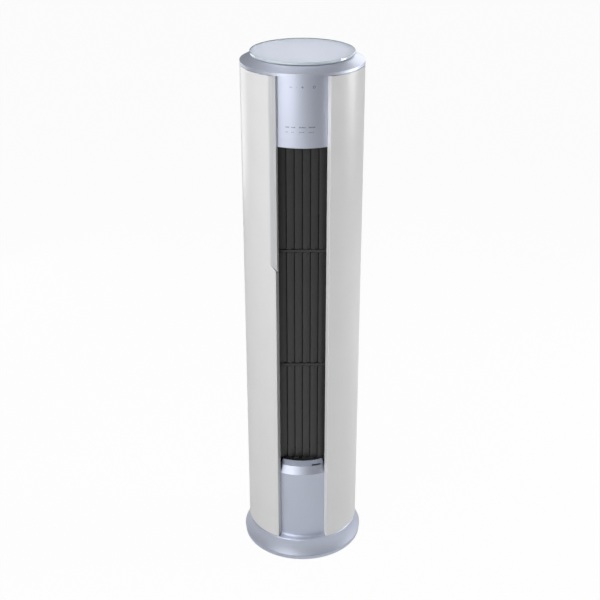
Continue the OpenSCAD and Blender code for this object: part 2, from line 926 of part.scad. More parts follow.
module motor_post_places() {
    translate([0, -fan_y, 0]) for (a = motor_ear_angles) on_circle(motor_ear_r, a) children();
}

module fan_motor() {
    color(steel) difference() {
        union() {
            translate([0, -fan_y, 0]) {
                rotate_extrude() polygon([
                    [0, motor_top - motor_h], [motor_r - motor_edge, motor_top - motor_h],
                    [motor_r, motor_top - motor_h + motor_bevel], [motor_r, motor_top - motor_bevel],
                    [motor_r - motor_edge, motor_top], [0, motor_top]
                ]);
                ring(motor_r - 2, motor_r + 3, motor_mid - 3, motor_mid + 3);
            }
            for (a = motor_ear_angles) translate([0, -fan_y, motor_mid - motor_ear_t / 2])
                rotate([0, 0, a]) translate([-motor_ear_w / 2, -motor_ear_r, 0])
                    cube([motor_ear_w, motor_ear_r - 10, motor_ear_t]);
            motor_post_places()
                post([0, 0], motor_ear_w / 2, motor_mid - motor_ear_t / 2, motor_mid + motor_ear_t / 2);
        }
        post([0, -fan_y], shaft_d / 2 + run_gap, motor_top - 24, motor_top + cut);
        motor_post_places() post([0, 0], screw_d / 2 + run_gap, motor_top - motor_h, motor_top);
    }
}

// Three posts and a ring that hang the motor under the lower end plate
module motor_bracket() {
    ear_top = motor_mid + motor_ear_t / 2;
    under = duct_z - end_plate_t;
    color(steel) difference() {
        union() {
            motor_post_places() post([0, 0], motor_post_r, ear_top, under);
            translate([0, -fan_y, 0]) ring(motor_ring_r, motor_ear_r + 8, under - motor_ring_t, under);
        }
        motor_post_places() post([0, 0], screw_d / 2 + run_gap, ear_top - cut, under + cut);
    }
}

// Bolts from the motor's ears through the posts into the lower end plate
module motor_bolts() {
    ear_z = motor_mid - motor_ear_t / 2;
    color("silver") motor_post_places() {
        post([0, 0], screw_head_d / 2, ear_z - screw_head_h, ear_z);
        post([0, 0], screw_d / 2, ear_z - 1, duct_z);
    }
}

// Heat exchanger, drain and pipes

module evaporator_fins() {
    groove_pitch = 24;
    color("lightsteelblue") difference() {
        arc_wall(coil_r, coil_out, 90, 270, coil_z, coil_top);
        for (z = [coil_z + groove_pitch : groove_pitch : coil_top - groove_pitch / 2])
            arc_wall(coil_out - 2, coil_out + cut, 89, 271, z, z + 2);
    }
}

module evaporator_brackets() {
    color(steel) mirrored()
        block([coil_r - 3, -column_back_y, coil_z - 6], [coil_out + 2, 0, coil_top + 6]);
}

// Copper return bend that joins two tubes at the top of the fin block
module return_bend(r, a0, a1) {
    half = r * sin((a1 - a0) / 2);
    stub = 6;
    on_circle(r * cos((a1 - a0) / 2), (a0 + a1) / 2) {
        translate([0, 0, coil_top + stub]) rotate([90, 0, 0])
            rotate_extrude(angle = 180, $fn = 48) translate([half, 0]) circle(d = bend_d, $fn = 24);
        for (side = [-1, 1]) post([side * half, 0], bend_d / 2, coil_top, coil_top + stub);
    }
}

module evaporator_bends() {
    step = 150 / (bend_count - 1);
    color("peru") for (i = [0 : bend_count - 1]) {
        middle = 105 + i * step;
        return_bend(i % 2 == 0 ? bend_row_in : bend_row_out, middle - 4, middle + 4);
    }
}

module drain_pan() {
    color("whitesmoke") difference() {
        union() {
            difference() {
                arc_wall(coil_r - pan_edge, coil_out + pan_edge, 90, 270, pan_z, pan_z + pan_h);
                arc_wall(coil_r - pan_edge + pan_t, coil_out + pan_edge - pan_t, 91.5, 268.5,
                    pan_z + pan_t, pan_z + pan_h + cut);
            }
            mirrored() block([coil_r - pan_edge, -column_back_y, pan_z],
                [coil_out, 0.5, pan_z + pan_h]);
            on_circle(coil_mid, spout_angle) post([0, 0], spout_r, pan_z - spout_h, pan_z + 1);
        }
        on_circle(coil_mid, spout_angle)
            post([0, 0], spout_r - 2, pan_z - spout_h - cut, pan_z + pan_t + cut);
    }
}

// Rigid pipe that slips over the pan's spout and ends beside the pipe collar
module drain_pipe() {
    bottom = collar_z - 20;
    color("white") on_circle(coil_mid, spout_angle) difference() {
        union() {
            post([0, 0], spout_r + 2, bottom, pan_z - fit_gap);
            post([0, 0], spout_r + 4, pan_z - spout_h - 2, pan_z - fit_gap);
        }
        post([0, 0], spout_r + run_gap, bottom - cut, pan_z);
    }
}

// Quarter bend of a pipe: it starts upwards at the origin and turns towards -Y
module quarter_bend(r, turn) {
    translate([0, -turn, 0]) rotate([90, 0, 90])
        rotate_extrude(angle = 90, $fn = 64) translate([turn, 0]) circle(r = r, $fn = 32);
}

// Pipe that leaves the coil, turns down and then back to the collar, where it has a flare nut
module line_pipe(x, r, nut_af) {
    turn = pipe_turn;
    start_y = tenth(sqrt(coil_r * coil_r - pow(abs(x) + r, 2))) - fit_gap;
    drop_y = start_y - turn - pipe_lead;
    end_y = collar_in_y - nut_clear;
    header_z = coil_z + header_h;
    translate([x, 0, 0]) union() {
        translate([0, drop_y + turn, header_z]) rotate([-90, 0, 0])
            cylinder(r = r, h = start_y - drop_y - turn, $fn = 32);
        translate([0, drop_y, header_z - turn]) mirror([0, 1, 0]) quarter_bend(r, turn);
        post([0, drop_y], r, collar_z + turn, header_z - turn);
        translate([0, drop_y, collar_z + turn]) rotate([180, 0, 0]) quarter_bend(r, turn);
        translate([0, drop_y + turn, collar_z]) rotate([-90, 0, 0])
            cylinder(r = r, h = end_y - drop_y - turn, $fn = 32);
        translate([0, end_y - nut_h, collar_z]) rotate([-90, 0, 0])
            cylinder(d = nut_af / cos(30), h = nut_h, $fn = 6);
    }
}

module gas_pipe() {
    color("peru") line_pipe(pipe_x, gas_r, gas_nut);
}

module liquid_pipe() {
    color("peru") line_pipe(-pipe_x, liquid_r, liquid_nut);
}

// Electrics

module control_box() {
    low = [-box_x, -box_front, box_z];
    high = [box_x, box_back, top_plate_z];
    wall = [box_t, 0, box_t];
    color("gainsboro") difference() {
        block(low, high);
        block(low + wall + [0, -cut, 0], high - wall - [0, box_t, 0]);
    }
}

module control_lid() {
    tongue_x = box_x - box_t - fit_gap;
    tongue_z = box_z + box_t + fit_gap;
    color("gainsboro") union() {
        block([-box_x, -box_front - box_t, box_z], [box_x, -box_front, top_plate_z]);
        block([-tongue_x, -box_front - 0.5, tongue_z], [tongue_x, -box_front + 4, tongue_z + box_t]);
    }
}

module main_board() {
    back = box_back - box_t;
    y = back - 8;
    z = box_z + 12;
    half = box_x - 10;
    can_r = 9;
    can_h = 28;
    can_z = z + 24;
    sink = [36, 21, 38];
    color("darkgreen") union() {
        block([-half, y - board_t, z], [half, y, top_plate_z - 14]);
        for (x = [-half + 8, half - 16]) block([x, y - 0.5, z + 4], [x + 8, back, z + 12]);
        for (x = [can_r - half + 19, can_r - half + 41])
            translate([x, y - can_h, can_z]) rotate([-90, 0, 0])
                cylinder(r = can_r, h = can_h - 0.5, $fn = 32);
        translate([half - 54, y - sink[1] - 1, z + 14]) cube(sink);
    }
}

// Connection block on the right column
module terminal_block() {
    x = column_x - column_t;
    edge = 4;
    slot = 9;
    step = (terminal_l - 2 * edge - slot) / (terminal_count - 1);
    color("ivory") difference() {
        translate([x - terminal_w, terminal_y, terminal_z])
            cube([terminal_w, terminal_l, terminal_h]);
        for (i = [0 : terminal_count - 1])
            translate([x - terminal_w - cut, terminal_y + edge + i * step, terminal_z + edge])
                cube([terminal_w - slot + cut, slot, terminal_h - 2 * edge]);
    }
}

// Side panels and door

// Section of the right-hand panel: a curved wall with a rounded corner and a return flange
module panel_section() {
    corner_r = panel_r - edge_round - 0.05;
    corner_a = opening_half + asin(edge_round / corner_r);
    difference() {
        wall_section(panel_in, panel_r, corner_a, hinge_angle + 4);
        tail_trim();
    }
    rotate(opening_half) {
        translate([edge_round, -corner_r]) circle(r = edge_round, $fn = 32);
        translate([0, -corner_r]) square([return_t, recess_depth - edge_round - fit_gap * 3]);
    }
}

module wall_section(r_in, r_out, a0, a1) {
    reach = r_out * 1.4;
    difference() {
        intersection() {
            circle(r = r_out, $fn = 360);
            polygon(concat([[0, 0]],
                [for (i = [0 : 4]) reach * polar(1, a0 + (a1 - a0) * i / 4)]));
        }
        circle(r = r_in, $fn = 360);
    }
}

// Everything behind the hinge axis, except the circle that the tail fills
module tail_trim() {
    difference() {
        rotate(hinge_angle) translate([0, -panel_r - 5]) square([40, 40]);
        translate(polar(hinge_r, hinge_angle)) circle(r = tail_r, $fn = 96);
    }
}

// Cut line of the grip, set in from the strip's face by a depth
function grip_line(depth) = let (
    a = polar(panel_r, opening_half + grip_angle),
    b = polar(panel_r - grip_depth, opening_half),
    along = (b - a) / norm(b - a),
    inward = [along[1], -along[0]]
) [a + inward * depth - along * 3, b + inward * depth + along * 6];

module grip_band(depth0, depth1) {
    near = grip_line(depth0);
    far = grip_line(depth1);
    polygon([near[0], near[1], far[1], far[0]]);
}

// Prism over the grip's height that ends in a slope, set lower by a drop or higher by a rise
module above_grip(drop) {
    low = grip_z - 40;
    difference() {
        translate([0, 0, low]) linear_extrude(panel_top - low) children();
        translate([polar(panel_r, opening_half + grip_angle)[0], 0, grip_z - drop])
            rotate([0, -grip_slope, 0]) translate([-panel_r / 2, -panel_r * 1.2, -panel_r])
                cube([panel_r * 1.5, panel_r * 0.6, panel_r]);
    }
}

// Ear round the hinge axis that runs into the panel's wall
module door_lug(z) {
    place = polar(hinge_r, hinge_angle);
    difference() {
        post(place, lug_r, z, z + lug_t);
        post(place, hinge_pin_d / 2 + run_gap, z - cut, z + lug_t + cut);
    }
}

module right_panel() {
    color(white) translate([0, 0, panel_z]) linear_extrude(panel_h) panel_section();
}

// The left panel is the door: it has hinge lugs and the grip's pocket, which is closed behind
// and below by a wall
module left_panel() {
    pocket = grip_t + fit_gap;
    color(white) mirror([1, 0, 0]) difference() {
        union() {
            translate([0, 0, panel_z]) linear_extrude(panel_h) panel_section();
            above_grip(fit_gap + return_t) intersection() {
                grip_band(-12, pocket + return_t);
                wall_section(face_r + 2, panel_r - 1, opening_half + 0.3,
                    opening_half + grip_angle + 3);
            }
            door_lug(panel_z + lug_inset);
            door_lug(panel_top - lug_inset - lug_t);
        }
        above_grip(fit_gap) grip_band(-20, pocket);
    }
}

module grip_strip() {
    color("silver") mirror([1, 0, 0]) above_grip(-grip_notch) intersection() {
        grip_band(0, grip_t);
        wall_section(face_r, panel_r - 0.05, opening_half, opening_half + grip_angle + 0.6);
    }
}

// Door catch: magnets on the frame's flange and steel strikes inside the door

module door_strikes() {
    color(steel) intersection() {
        for (z = catch_heights)
            block([-catch_x - catch_w / 2, -panel_r, z], [-catch_x + catch_w / 2, -catch_y, z + catch_h]);
        translate([0, 0, catch_heights[0] - cut])
            cylinder(r = panel_in - fit_gap, h = catch_heights[1] + catch_h, $fn = 360);
    }
}

module door_magnets() {
    color("dimgray") for (z = catch_heights)
        block([-catch_x - catch_w / 2, -catch_y + fit_gap, z + 4],
            [-catch_x + catch_w / 2, -frame_y, z + catch_h - 4]);
}

module hinge_pins() {
    place = polar(hinge_r, -hinge_angle);
    color("silver") {
        post(place, hinge_pin_d / 2, shelf_z - pin_depth, panel_z + pin_reach);
        post(place, hinge_pin_d / 2 + collar_step, shelf_z, panel_z - run_gap);
        post(place, hinge_pin_d / 2, panel_top - pin_reach, cap_z + pin_reach);
        post(place, hinge_pin_d / 2 + collar_step, panel_top + run_gap, cap_z);
    }
}

// Rear housing, filter and what passes through the housing

module rear_housing() {
    start = 180 - (slot_columns - 1) / 2 * slot_pitch;
    slot_angle = slot_w / panel_r * 180 / PI;
    color(white) difference() {
        translate([0, 0, panel_z]) linear_extrude(panel_h) difference() {
            wall_section(panel_in, panel_r, housing_start, 360 - housing_start);
            for (a = [-hinge_angle, hinge_angle])
                translate(polar(hinge_r, a)) circle(r = tail_r + tail_gap, $fn = 96);
        }
        for (row = [0 : slot_rows - 1], i = [0 : slot_columns - 1])
            arc_wall(panel_in - cut, panel_r + cut, start + i * slot_pitch - slot_angle / 2,
                start + i * slot_pitch + slot_angle / 2,
                grille_z + row * grille_pitch, grille_z + row * grille_pitch + slot_h);
        translate([0, collar_in_y, collar_z]) rotate([-90, 0, 0])
            cylinder(r = collar_r + collar_wall + run_gap, h = collar_reach);
        on_circle(panel_r, gland_angle) translate([0, 0, gland_z]) rotate([-90, 0, 0])
            translate([0, 0, -gland_l]) cylinder(r = gland_r + gland_wall + run_gap, h = 2 * gland_l,
                $fn = 32);
        housing_screw_holes();
        bracket_screw_holes();
    }
}

// Places of the screws that hold the housing to the base's and the cap's rims
module housing_screw_places() {
    for (a = housing_screw_angles, z = [shelf_z + rim_h / 2 + 1, cap_z - rim_h / 2 - 1])
        on_circle(panel_r, a) translate([0, 0, z]) rotate([-90, 0, 0]) children();
}

module housing_screw_holes() {
    housing_screw_places() translate([0, 0, -cut])
        cylinder(d = screw_d + 2 * run_gap, h = 16, $fn = 32);
}

// Screws of the housing, and the two that hold the wall bracket to it
module housing_screws() {
    color(steel) {
        housing_screw_places() {
            translate([0, 0, -screw_head_h]) cylinder(d = screw_head_d, h = screw_head_h, $fn = 32);
            translate([0, 0, -cut]) cylinder(d = screw_d, h = 9, $fn = 32);
        }
        for (x = [-bracket_screw_x, bracket_screw_x]) translate([x, bracket_y, bracket_screw_z])
            rotate([90, 0, 0]) {
                translate([0, 0, -bracket_sheet - screw_head_h])
                    cylinder(d = screw_head_d, h = screw_head_h, $fn = 32);
                translate([0, 0, -bracket_sheet - cut]) cylinder(d = screw_d, h = 12, $fn = 32);
            }
    }
}

module filter_frame() {
    bar_angle = filter_bar / panel_in * 180 / PI;
    r_out = panel_in - fit_gap;
    first = 180 - filter_half;
    last = 180 + filter_half;
    window = (filter_top - filter_z - filter_bar) / 3;
    step = (last - first - bar_angle) / 3;
    color("lightgray") difference() {
        arc_wall(r_out - filter_t, r_out, first, last, filter_z, filter_top);
        for (row = [0 : 2], i = [0 : 2])
            arc_wall(r_out - filter_t - cut, r_out + cut,
                first + i * step + bar_angle, first + (i + 1) * step,
                filter_z + row * window + filter_bar, filter_z + (row + 1) * window);
    }
}

module filter_mesh() {
    r_out = panel_in - fit_gap - filter_t - fit_gap;
    color([0.3, 0.32, 0.34]) arc_wall(r_out - 0.8, r_out, 181 - filter_half, 179 + filter_half,
        filter_z + 2, filter_top - 2);
}

// Collar with a saddle-shaped flange that follows the housing
module pipe_collar() {
    color("gray") difference() {
        translate([0, collar_in_y, collar_z]) rotate([-90, 0, 0]) {
            cylinder(r = collar_r + collar_wall, h = collar_out_y - collar_in_y);
            translate([0, 0, collar_lead])
                cylinder(r = collar_r + collar_flange, h = collar_out_y - collar_in_y - collar_lead);
        }
        difference() {
            translate([0, 0, collar_z - 2 * collar_r])
                cylinder(r = panel_r + fit_gap, h = 4 * collar_r, $fn = 360);
            translate([0, collar_in_y - cut, collar_z]) rotate([-90, 0, 0])
                cylinder(r = collar_r + collar_wall, h = collar_reach);
        }
        translate([0, collar_in_y - cut, collar_z]) rotate([-90, 0, 0])
            cylinder(r = collar_r, h = collar_reach);
    }
}

module cord_gland() {
    color("black") on_circle(panel_r, gland_angle) translate([0, 0, gland_z]) rotate([-90, 0, 0])
        difference() {
            union() {
                translate([0, 0, -gland_rim_t])
                    cylinder(r = gland_r + gland_wall + gland_rim, h = gland_rim_t, $fn = 48);
                translate([0, 0, -gland_rim_t]) cylinder(r = gland_r + gland_wall, h = gland_l, $fn = 48);
            }
            translate([0, 0, -gland_rim_t - cut]) cylinder(r = gland_r, h = gland_l + 2 * cut, $fn = 48);
        }
}

module bracket_screw_holes() {
    for (x = [-bracket_screw_x, bracket_screw_x])
        translate([x, bracket_y + bracket_sheet + cut, bracket_screw_z]) rotate([90, 0, 0])
            cylinder(d = screw_d + 2 * run_gap, h = 16, $fn = 32);
}

// Steel strap at the top of the back that ties the tower to a wall
module wall_bracket() {
    step_z = bracket_z + bracket_step;
    color(steel) difference() {
        union() {
            block([-bracket_half, bracket_y, bracket_z],
                [bracket_half, bracket_y + bracket_sheet, step_z + bracket_sheet]);
            block([-bracket_half, bracket_y, step_z],
                [bracket_half, bracket_y + bracket_reach, step_z + bracket_sheet]);
            block([-bracket_half, bracket_y + bracket_reach - bracket_sheet, step_z],
                [bracket_half, bracket_y + bracket_reach, step_z + bracket_lip]);
        }
        for (x = [-wall_hole_x, wall_hole_x])
            translate([x, bracket_y + bracket_reach - 3, step_z + wall_hole_h]) rotate([-90, 0, 0])
                cylinder(r = wall_hole_r, h = 4, $fn = 32);
        bracket_screw_holes();
    }
}

// Cap, gasket and glass

module cap_post_places() {
    for (a = cap_post_angles) on_circle(cap_post_r, a) children();
}

module top_cap() {
    shelf = cap_z + cap_lip;
    cap_rim = [
        [rim_in, cap_z - rim_h], [rim_r, cap_z - rim_h], [rim_r, shelf], [panel_r - 1, shelf],
        [panel_r - 1, shelf + 2], [rim_in, shelf + 2]
    ];
    color(silver_blue) difference() {
        union() {
            rotate_extrude() polygon([
                [0, deck_z], [deck_r, deck_z], [panel_r, cone_z], [panel_r, cap_z],
                [panel_r - cap_t, cap_z], [panel_r - cap_t, cone_z - 1.5],
                [deck_r - 1, deck_z - cap_t], [0, deck_z - cap_t]
            ]);
            mirrored() arc_profile(cap_rim, rim_start, rim_stop);
            arc_profile(cap_rim, rim_rear, 360 - rim_rear);
            cap_post_places() post([0, 0], cap_boss_r, top_plate_z + top_plate_t, deck_z - 1);
            post(polar(hinge_r, -hinge_angle), lug_r, cap_z, cone_z + 3);
        }
        post(polar(hinge_r, -hinge_angle), hinge_pin_d / 2 + run_gap, cap_z - cut, cap_z + cap_pin_h);
        cap_post_places() post([0, 0], screw_d / 2 + run_gap, top_plate_z, deck_z - 6);
        housing_screw_holes();
    }
}

module cap_screws() {
    color(steel) cap_post_places() {
        post([0, 0], screw_head_d / 2, top_plate_z - screw_head_h, top_plate_z);
        post([0, 0], screw_d / 2, top_plate_z - cut, deck_z - 8);
    }
}

module glass_gasket() {
    color("black") ring(gasket_r - gasket_w, gasket_r, deck_z, glass_z);
}

module glass_disc() {
    color([0.86, 0.88, 0.94]) rotate_extrude() polygon([
        [0, glass_z], [glass_r - glass_edge, glass_z], [glass_r, glass_z + glass_edge],
        [glass_r, glass_z + glass_t - glass_edge], [glass_r - glass_edge, glass_z + glass_t],
        [0, glass_z + glass_t]
    ]);
}

base_plate();
rubber_feet();
base_screws();
base_plinth();
lower_cover();
outlet_sill();
left_column();
right_column();
top_plate();
outlet_frame();
front_screws();
vane(1);  // vane_1
vane(2);  // vane_2
vane(3);  // vane_3
vane(4);  // vane_4
vane(5);  // vane_5
vane(6);  // vane_6
vane_link();
vane_motor();
lower_end_plate();
upper_end_plate();
scroll_wall();
tongue_wall();
fan_wheel();
fan_shafts();
fan_bearing();
fan_motor();
motor_bracket();
motor_bolts();
evaporator_fins();
evaporator_brackets();
evaporator_bends();
drain_pan();
drain_pipe();
gas_pipe();
liquid_pipe();
control_box();
control_lid();
main_board();
terminal_block();
display_panel();
display_board();
left_panel();
grip_strip();
door_strikes();
hinge_pins();
door_magnets();
right_panel();
rear_housing();
filter_frame();
filter_mesh();
pipe_collar();
cord_gland();
housing_screws();
wall_bracket();
top_cap();
cap_screws();
glass_gasket();
glass_disc();
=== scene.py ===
"""Looks of a floor standing air conditioner: finishes, printed marks, glass, fins and the studio."""

import math

import bmesh
import bpy
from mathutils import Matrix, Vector


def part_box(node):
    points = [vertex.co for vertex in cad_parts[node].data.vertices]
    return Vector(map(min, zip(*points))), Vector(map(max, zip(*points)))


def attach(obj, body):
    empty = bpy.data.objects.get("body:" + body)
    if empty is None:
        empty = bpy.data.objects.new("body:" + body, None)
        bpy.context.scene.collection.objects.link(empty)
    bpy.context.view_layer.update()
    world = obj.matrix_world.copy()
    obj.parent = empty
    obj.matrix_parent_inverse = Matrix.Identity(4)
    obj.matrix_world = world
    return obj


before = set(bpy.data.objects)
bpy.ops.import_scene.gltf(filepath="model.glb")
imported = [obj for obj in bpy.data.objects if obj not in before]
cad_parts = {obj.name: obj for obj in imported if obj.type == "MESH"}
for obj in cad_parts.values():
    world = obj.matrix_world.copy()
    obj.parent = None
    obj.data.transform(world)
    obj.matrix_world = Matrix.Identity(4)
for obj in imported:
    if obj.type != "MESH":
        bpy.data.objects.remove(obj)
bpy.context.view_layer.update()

MM = 0.001

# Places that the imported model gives
PANEL_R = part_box("right_panel")[1].x
PANEL_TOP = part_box("right_panel")[1].z
DISPLAY_R = -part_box("display_panel")[0].y
GLASS_LOW, GLASS_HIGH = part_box("glass_disc")
BASE_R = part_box("base_plinth")[1].x
COIL_LOW, COIL_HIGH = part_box("evaporator_fins")

# Camera, worked out from the photograph's edges
CAMERA_PLACE = (0, -3.451, 2.565)
CAMERA_TILT = math.radians(64.55)
CAMERA_LENS = 68.1
FRAME_PIXELS = 600
AXIS_PIXEL = 302.5


# Short ways to build node trees


class Graph:
    """A node tree, with short ways to add nodes and to join them."""

    def __init__(self, tree):
        self.tree = tree

    def feed(self, socket, value):
        if isinstance(value, bpy.types.NodeSocket):
            self.tree.links.new(value, socket)
        else:
            socket.default_value = value

    def node(self, kind, inputs=None, **settings):
        """Adds a node; inputs are values or sockets by name or number."""
        made = self.tree.nodes.new(kind)
        for key, value in settings.items():
            setattr(made, key, value)
        for key, value in (inputs or {}).items():
            self.feed(made.inputs[key], value)
        return made

    def math(self, operation, a, b=0.0, clamp=False):
        made = self.node("ShaderNodeMath", {0: a, 1: b}, operation=operation, use_clamp=clamp)
        return made.outputs[0]

    def remap(self, value, low, high, to_low, to_high):
        made = self.node("ShaderNodeMapRange", {
            "Value": value, "From Min": low, "From Max": high, "To Min": to_low, "To Max": to_high})
        return made.outputs["Result"]

    def mix(self, factor, a, b):
        """Mix of two colours."""
        made = self.node("ShaderNodeMix", data_type="RGBA")
        self.feed(made.inputs["Factor"], factor)
        self.feed(made.inputs[6], a)
        self.feed(made.inputs[7], b)
        return made.outputs[2]

    def coords(self):
        return self.node("ShaderNodeTexCoord").outputs["Object"]

    def noise(self, vector, scale, detail=2.0, roughness=0.5):
        made = self.node("ShaderNodeTexNoise", {
            "Vector": vector, "Scale": scale, "Detail": detail, "Roughness": roughness})
        return made.outputs["Fac"]


def rgba(color):
    """Colour with full alpha, as sockets take it."""
    return (*color, 1.0)


def new_group(name, inputs, outputs):
    """Shader group with float sockets, or colour ones where the default is a colour."""
    tree = bpy.data.node_groups.new(name, "ShaderNodeTree")
    for in_out, sockets in (("INPUT", inputs), ("OUTPUT", outputs)):
        for label, default in sockets.items():
            kind = "NodeSocketColor" if isinstance(default, tuple) else "NodeSocketFloat"
            socket = tree.interface.new_socket(label, in_out=in_out, socket_type=kind)
            if in_out == "INPUT":
                socket.default_value = default
    graph = Graph(tree)
    return graph, graph.node("NodeGroupInput").outputs, graph.node("NodeGroupOutput").inputs


# Effects of the surfaces, as shader groups


def make_grain():
    """Fine moulded or sprayed grain as a height."""
    graph, given, out = new_group("fine_grain", {"Scale": 600.0, "Softness": 0.5}, {"Height": 0.0})
    coords = graph.coords()
    fine = graph.noise(coords, given["Scale"], 3.0, given["Softness"])
    wide_scale = graph.math("MULTIPLY", given["Scale"], 0.31)
    wide = graph.noise(coords, wide_scale, 1.0)
    graph.feed(out["Height"], graph.math("ADD", graph.math("MULTIPLY", fine, 0.6),
                                         graph.math("MULTIPLY", wide, 0.4)))
    return graph.tree


def make_mottle():
    """Slow change of a colour and of gloss over a piece, as hands, dust and age leave."""
    graph, given, out = new_group(
        "mottle", {"Color": (0.8, 0.8, 0.8, 1.0), "Scale": 7.0, "Amount": 0.05},
        {"Color": (0, 0, 0, 1), "Value": 0.0})
    cloud = graph.noise(graph.coords(), given["Scale"], 4.0, 0.6)
    low = graph.math("SUBTRACT", 1.0, given["Amount"])
    shade = graph.node("ShaderNodeMapRange", {
        "Value": cloud, "From Min": 0.3, "From Max": 0.7, "To Min": low, "To Max": 1.0})
    scaled = graph.node("ShaderNodeVectorMath", {0: given["Color"]}, operation="SCALE")
    graph.feed(scaled.inputs["Scale"], shade.outputs["Result"])
    graph.feed(out["Color"], scaled.outputs[0])
    graph.feed(out["Value"], cloud)
    return graph.tree


def make_edge_wear():
    """Mask of worn edges: where the rounded normal leaves the face's own, broken up by noise."""
    graph, given, out = new_group("edge_wear", {"Radius": 0.8 * MM, "Break": 90.0}, {"Mask": 0.0})
    rounded = graph.node("ShaderNodeBevel", {"Radius": given["Radius"]}, samples=4)
    normal = graph.node("ShaderNodeNewGeometry").outputs["Normal"]
    same = graph.node("ShaderNodeVectorMath", {0: rounded.outputs["Normal"], 1: normal},
                      operation="DOT_PRODUCT").outputs["Value"]
    edge = graph.remap(same, 0.97, 0.80, 0.0, 1.0)
    broken = graph.remap(graph.noise(graph.coords(), given["Break"], 4.0, 0.7), 0.42, 0.62, 0.0, 1.0)
    graph.feed(out["Mask"], graph.math("MULTIPLY", edge, broken, clamp=True))
    return graph.tree


def make_dust():
    """Mask of dust: patchy, and thicker on faces that look up."""
    graph, given, out = new_group("dust", {"Scale": 25.0, "Amount": 0.2}, {"Mask": 0.0})
    normal = graph.node("ShaderNodeNewGeometry").outputs["Normal"]
    upward = graph.node("ShaderNodeSeparateXYZ", {0: normal}).outputs["Z"]
    lying = graph.remap(upward, 0.2, 1.0, 0.15, 1.0)
    patch = graph.remap(graph.noise(graph.coords(), given["Scale"], 6.0, 0.65), 0.4, 0.75, 0.0, 1.0)
    mask = graph.math("MULTIPLY", graph.math("MULTIPLY", lying, patch), given["Amount"], clamp=True)
    graph.feed(out["Mask"], mask)
    return graph.tree


def make_brushing():
    """Fine streaks along Z as a height and a mask."""
    graph, given, out = new_group("brushing", {"Across": 900.0, "Along": 6.0},
                                  {"Height": 0.0, "Mask": 0.0})
    scale = graph.node("ShaderNodeCombineXYZ", {
        "X": given["Across"], "Y": given["Across"], "Z": given["Along"]}).outputs[0]
    drawn = graph.node("ShaderNodeVectorMath", {0: graph.coords(), 1: scale},
                       operation="MULTIPLY").outputs[0]
    streak = graph.noise(drawn, 1.0, 3.0, 0.6)
    graph.feed(out["Height"], streak)
    graph.feed(out["Mask"], graph.remap(streak, 0.35, 0.65, 0.0, 1.0))
    return graph.tree


def make_spangle():
    """Crystal pattern of hot dip zinc, as a mask that differs from crystal to crystal."""
    graph, given, out = new_group("spangle", {"Scale": 160.0}, {"Mask": 0.0})
    wobble = graph.noise(graph.coords(), 60.0, 2.0)
    moved = graph.node("ShaderNodeVectorMath", {0: graph.coords()}, operation="ADD")
    graph.feed(moved.inputs[1], graph.node("ShaderNodeCombineXYZ", {
        "X": graph.math("MULTIPLY", wobble, 0.004)}).outputs[0])
    cells = graph.node("ShaderNodeTexVoronoi", {"Vector": moved.outputs[0], "Scale": given["Scale"]})
    level = graph.node("ShaderNodeSeparateColor", {0: cells.outputs["Color"]}).outputs[0]
    graph.feed(out["Mask"], level)
    return graph.tree


def make_flake():
    """Sparkle of a metallic paint, as a mask."""
    graph, given, out = new_group("metal_flake", {"Scale": 2600.0}, {"Mask": 0.0})
    cells = graph.node("ShaderNodeTexVoronoi", {"Vector": graph.coords(), "Scale": given["Scale"]})
    level = graph.node("ShaderNodeSeparateColor", {0: cells.outputs["Color"]}).outputs[1]
    graph.feed(out["Mask"], level)
    return graph.tree


GRAIN = make_grain()
MOTTLE = make_mottle()
EDGE_WEAR = make_edge_wear()
DUST = make_dust()
BRUSHING = make_brushing()
SPANGLE = make_spangle()
FLAKE = make_flake()


SHADER_SOCKETS = {
    "coat_weight": "Coat Weight",
    "coat_roughness": "Coat Roughness",
    "transmission_weight": "Transmission Weight",
    "subsurface_weight": "Subsurface Weight",
    "ior": "IOR",
}


class Finish(Graph):
    """A material with one Principled shader, built up step by step."""

    def __init__(self, name, roughness, metallic=0.0, **constants):
        self.material = bpy.data.materials.new(name)
        self.material.use_nodes = True
        super().__init__(self.material.node_tree)
        self.shader = self.tree.nodes["Principled BSDF"]
        self.shader.inputs["Roughness"].default_value = roughness
        self.shader.inputs["Metallic"].default_value = metallic
        for label, value in constants.items():
            self.shader.inputs[SHADER_SOCKETS[label]].default_value = value

    def group(self, tree, **values):
        made = self.node("ShaderNodeGroup", node_tree=tree)
        for label, value in values.items():
            self.feed(made.inputs[label], value)
        return made.outputs

    def color(self, value):
        self.feed(self.shader.inputs["Base Color"], value)

    def roughness(self, value):
        self.feed(self.shader.inputs["Roughness"], value)

    def bump(self, height, depth):
        made = self.node("ShaderNodeBump", {"Height": height, "Distance": depth})
        self.feed(self.shader.inputs["Normal"], made.outputs["Normal"])


def painted(name, color, roughness, grain_scale, grain_depth, wear=None, dust=0.1,
            amount=0.05, **constants):
    """Paint or moulded plastic: mottled colour, dust, worn edges if given, and a fine grain."""
    finish = Finish(name, roughness, **constants)
    mottle = finish.group(MOTTLE, Color=rgba(color), Amount=amount)
    shade = mottle["Color"]
    if wear:
        mask = finish.group(EDGE_WEAR)["Mask"]
        shade = finish.mix(mask, shade, rgba(wear))
    lying = finish.group(DUST, Amount=dust)["Mask"]
    shade = finish.mix(lying, shade, rgba((0.55, 0.54, 0.51)))
    finish.color(shade)
    cloudy = finish.remap(mottle["Value"], 0.3, 0.7, roughness - 0.05, roughness + 0.05)
    finish.roughness(finish.math("ADD", cloudy, finish.math("MULTIPLY", lying, 0.3), clamp=True))
    finish.bump(finish.group(GRAIN, Scale=grain_scale)["Height"], grain_depth)
    return finish.material


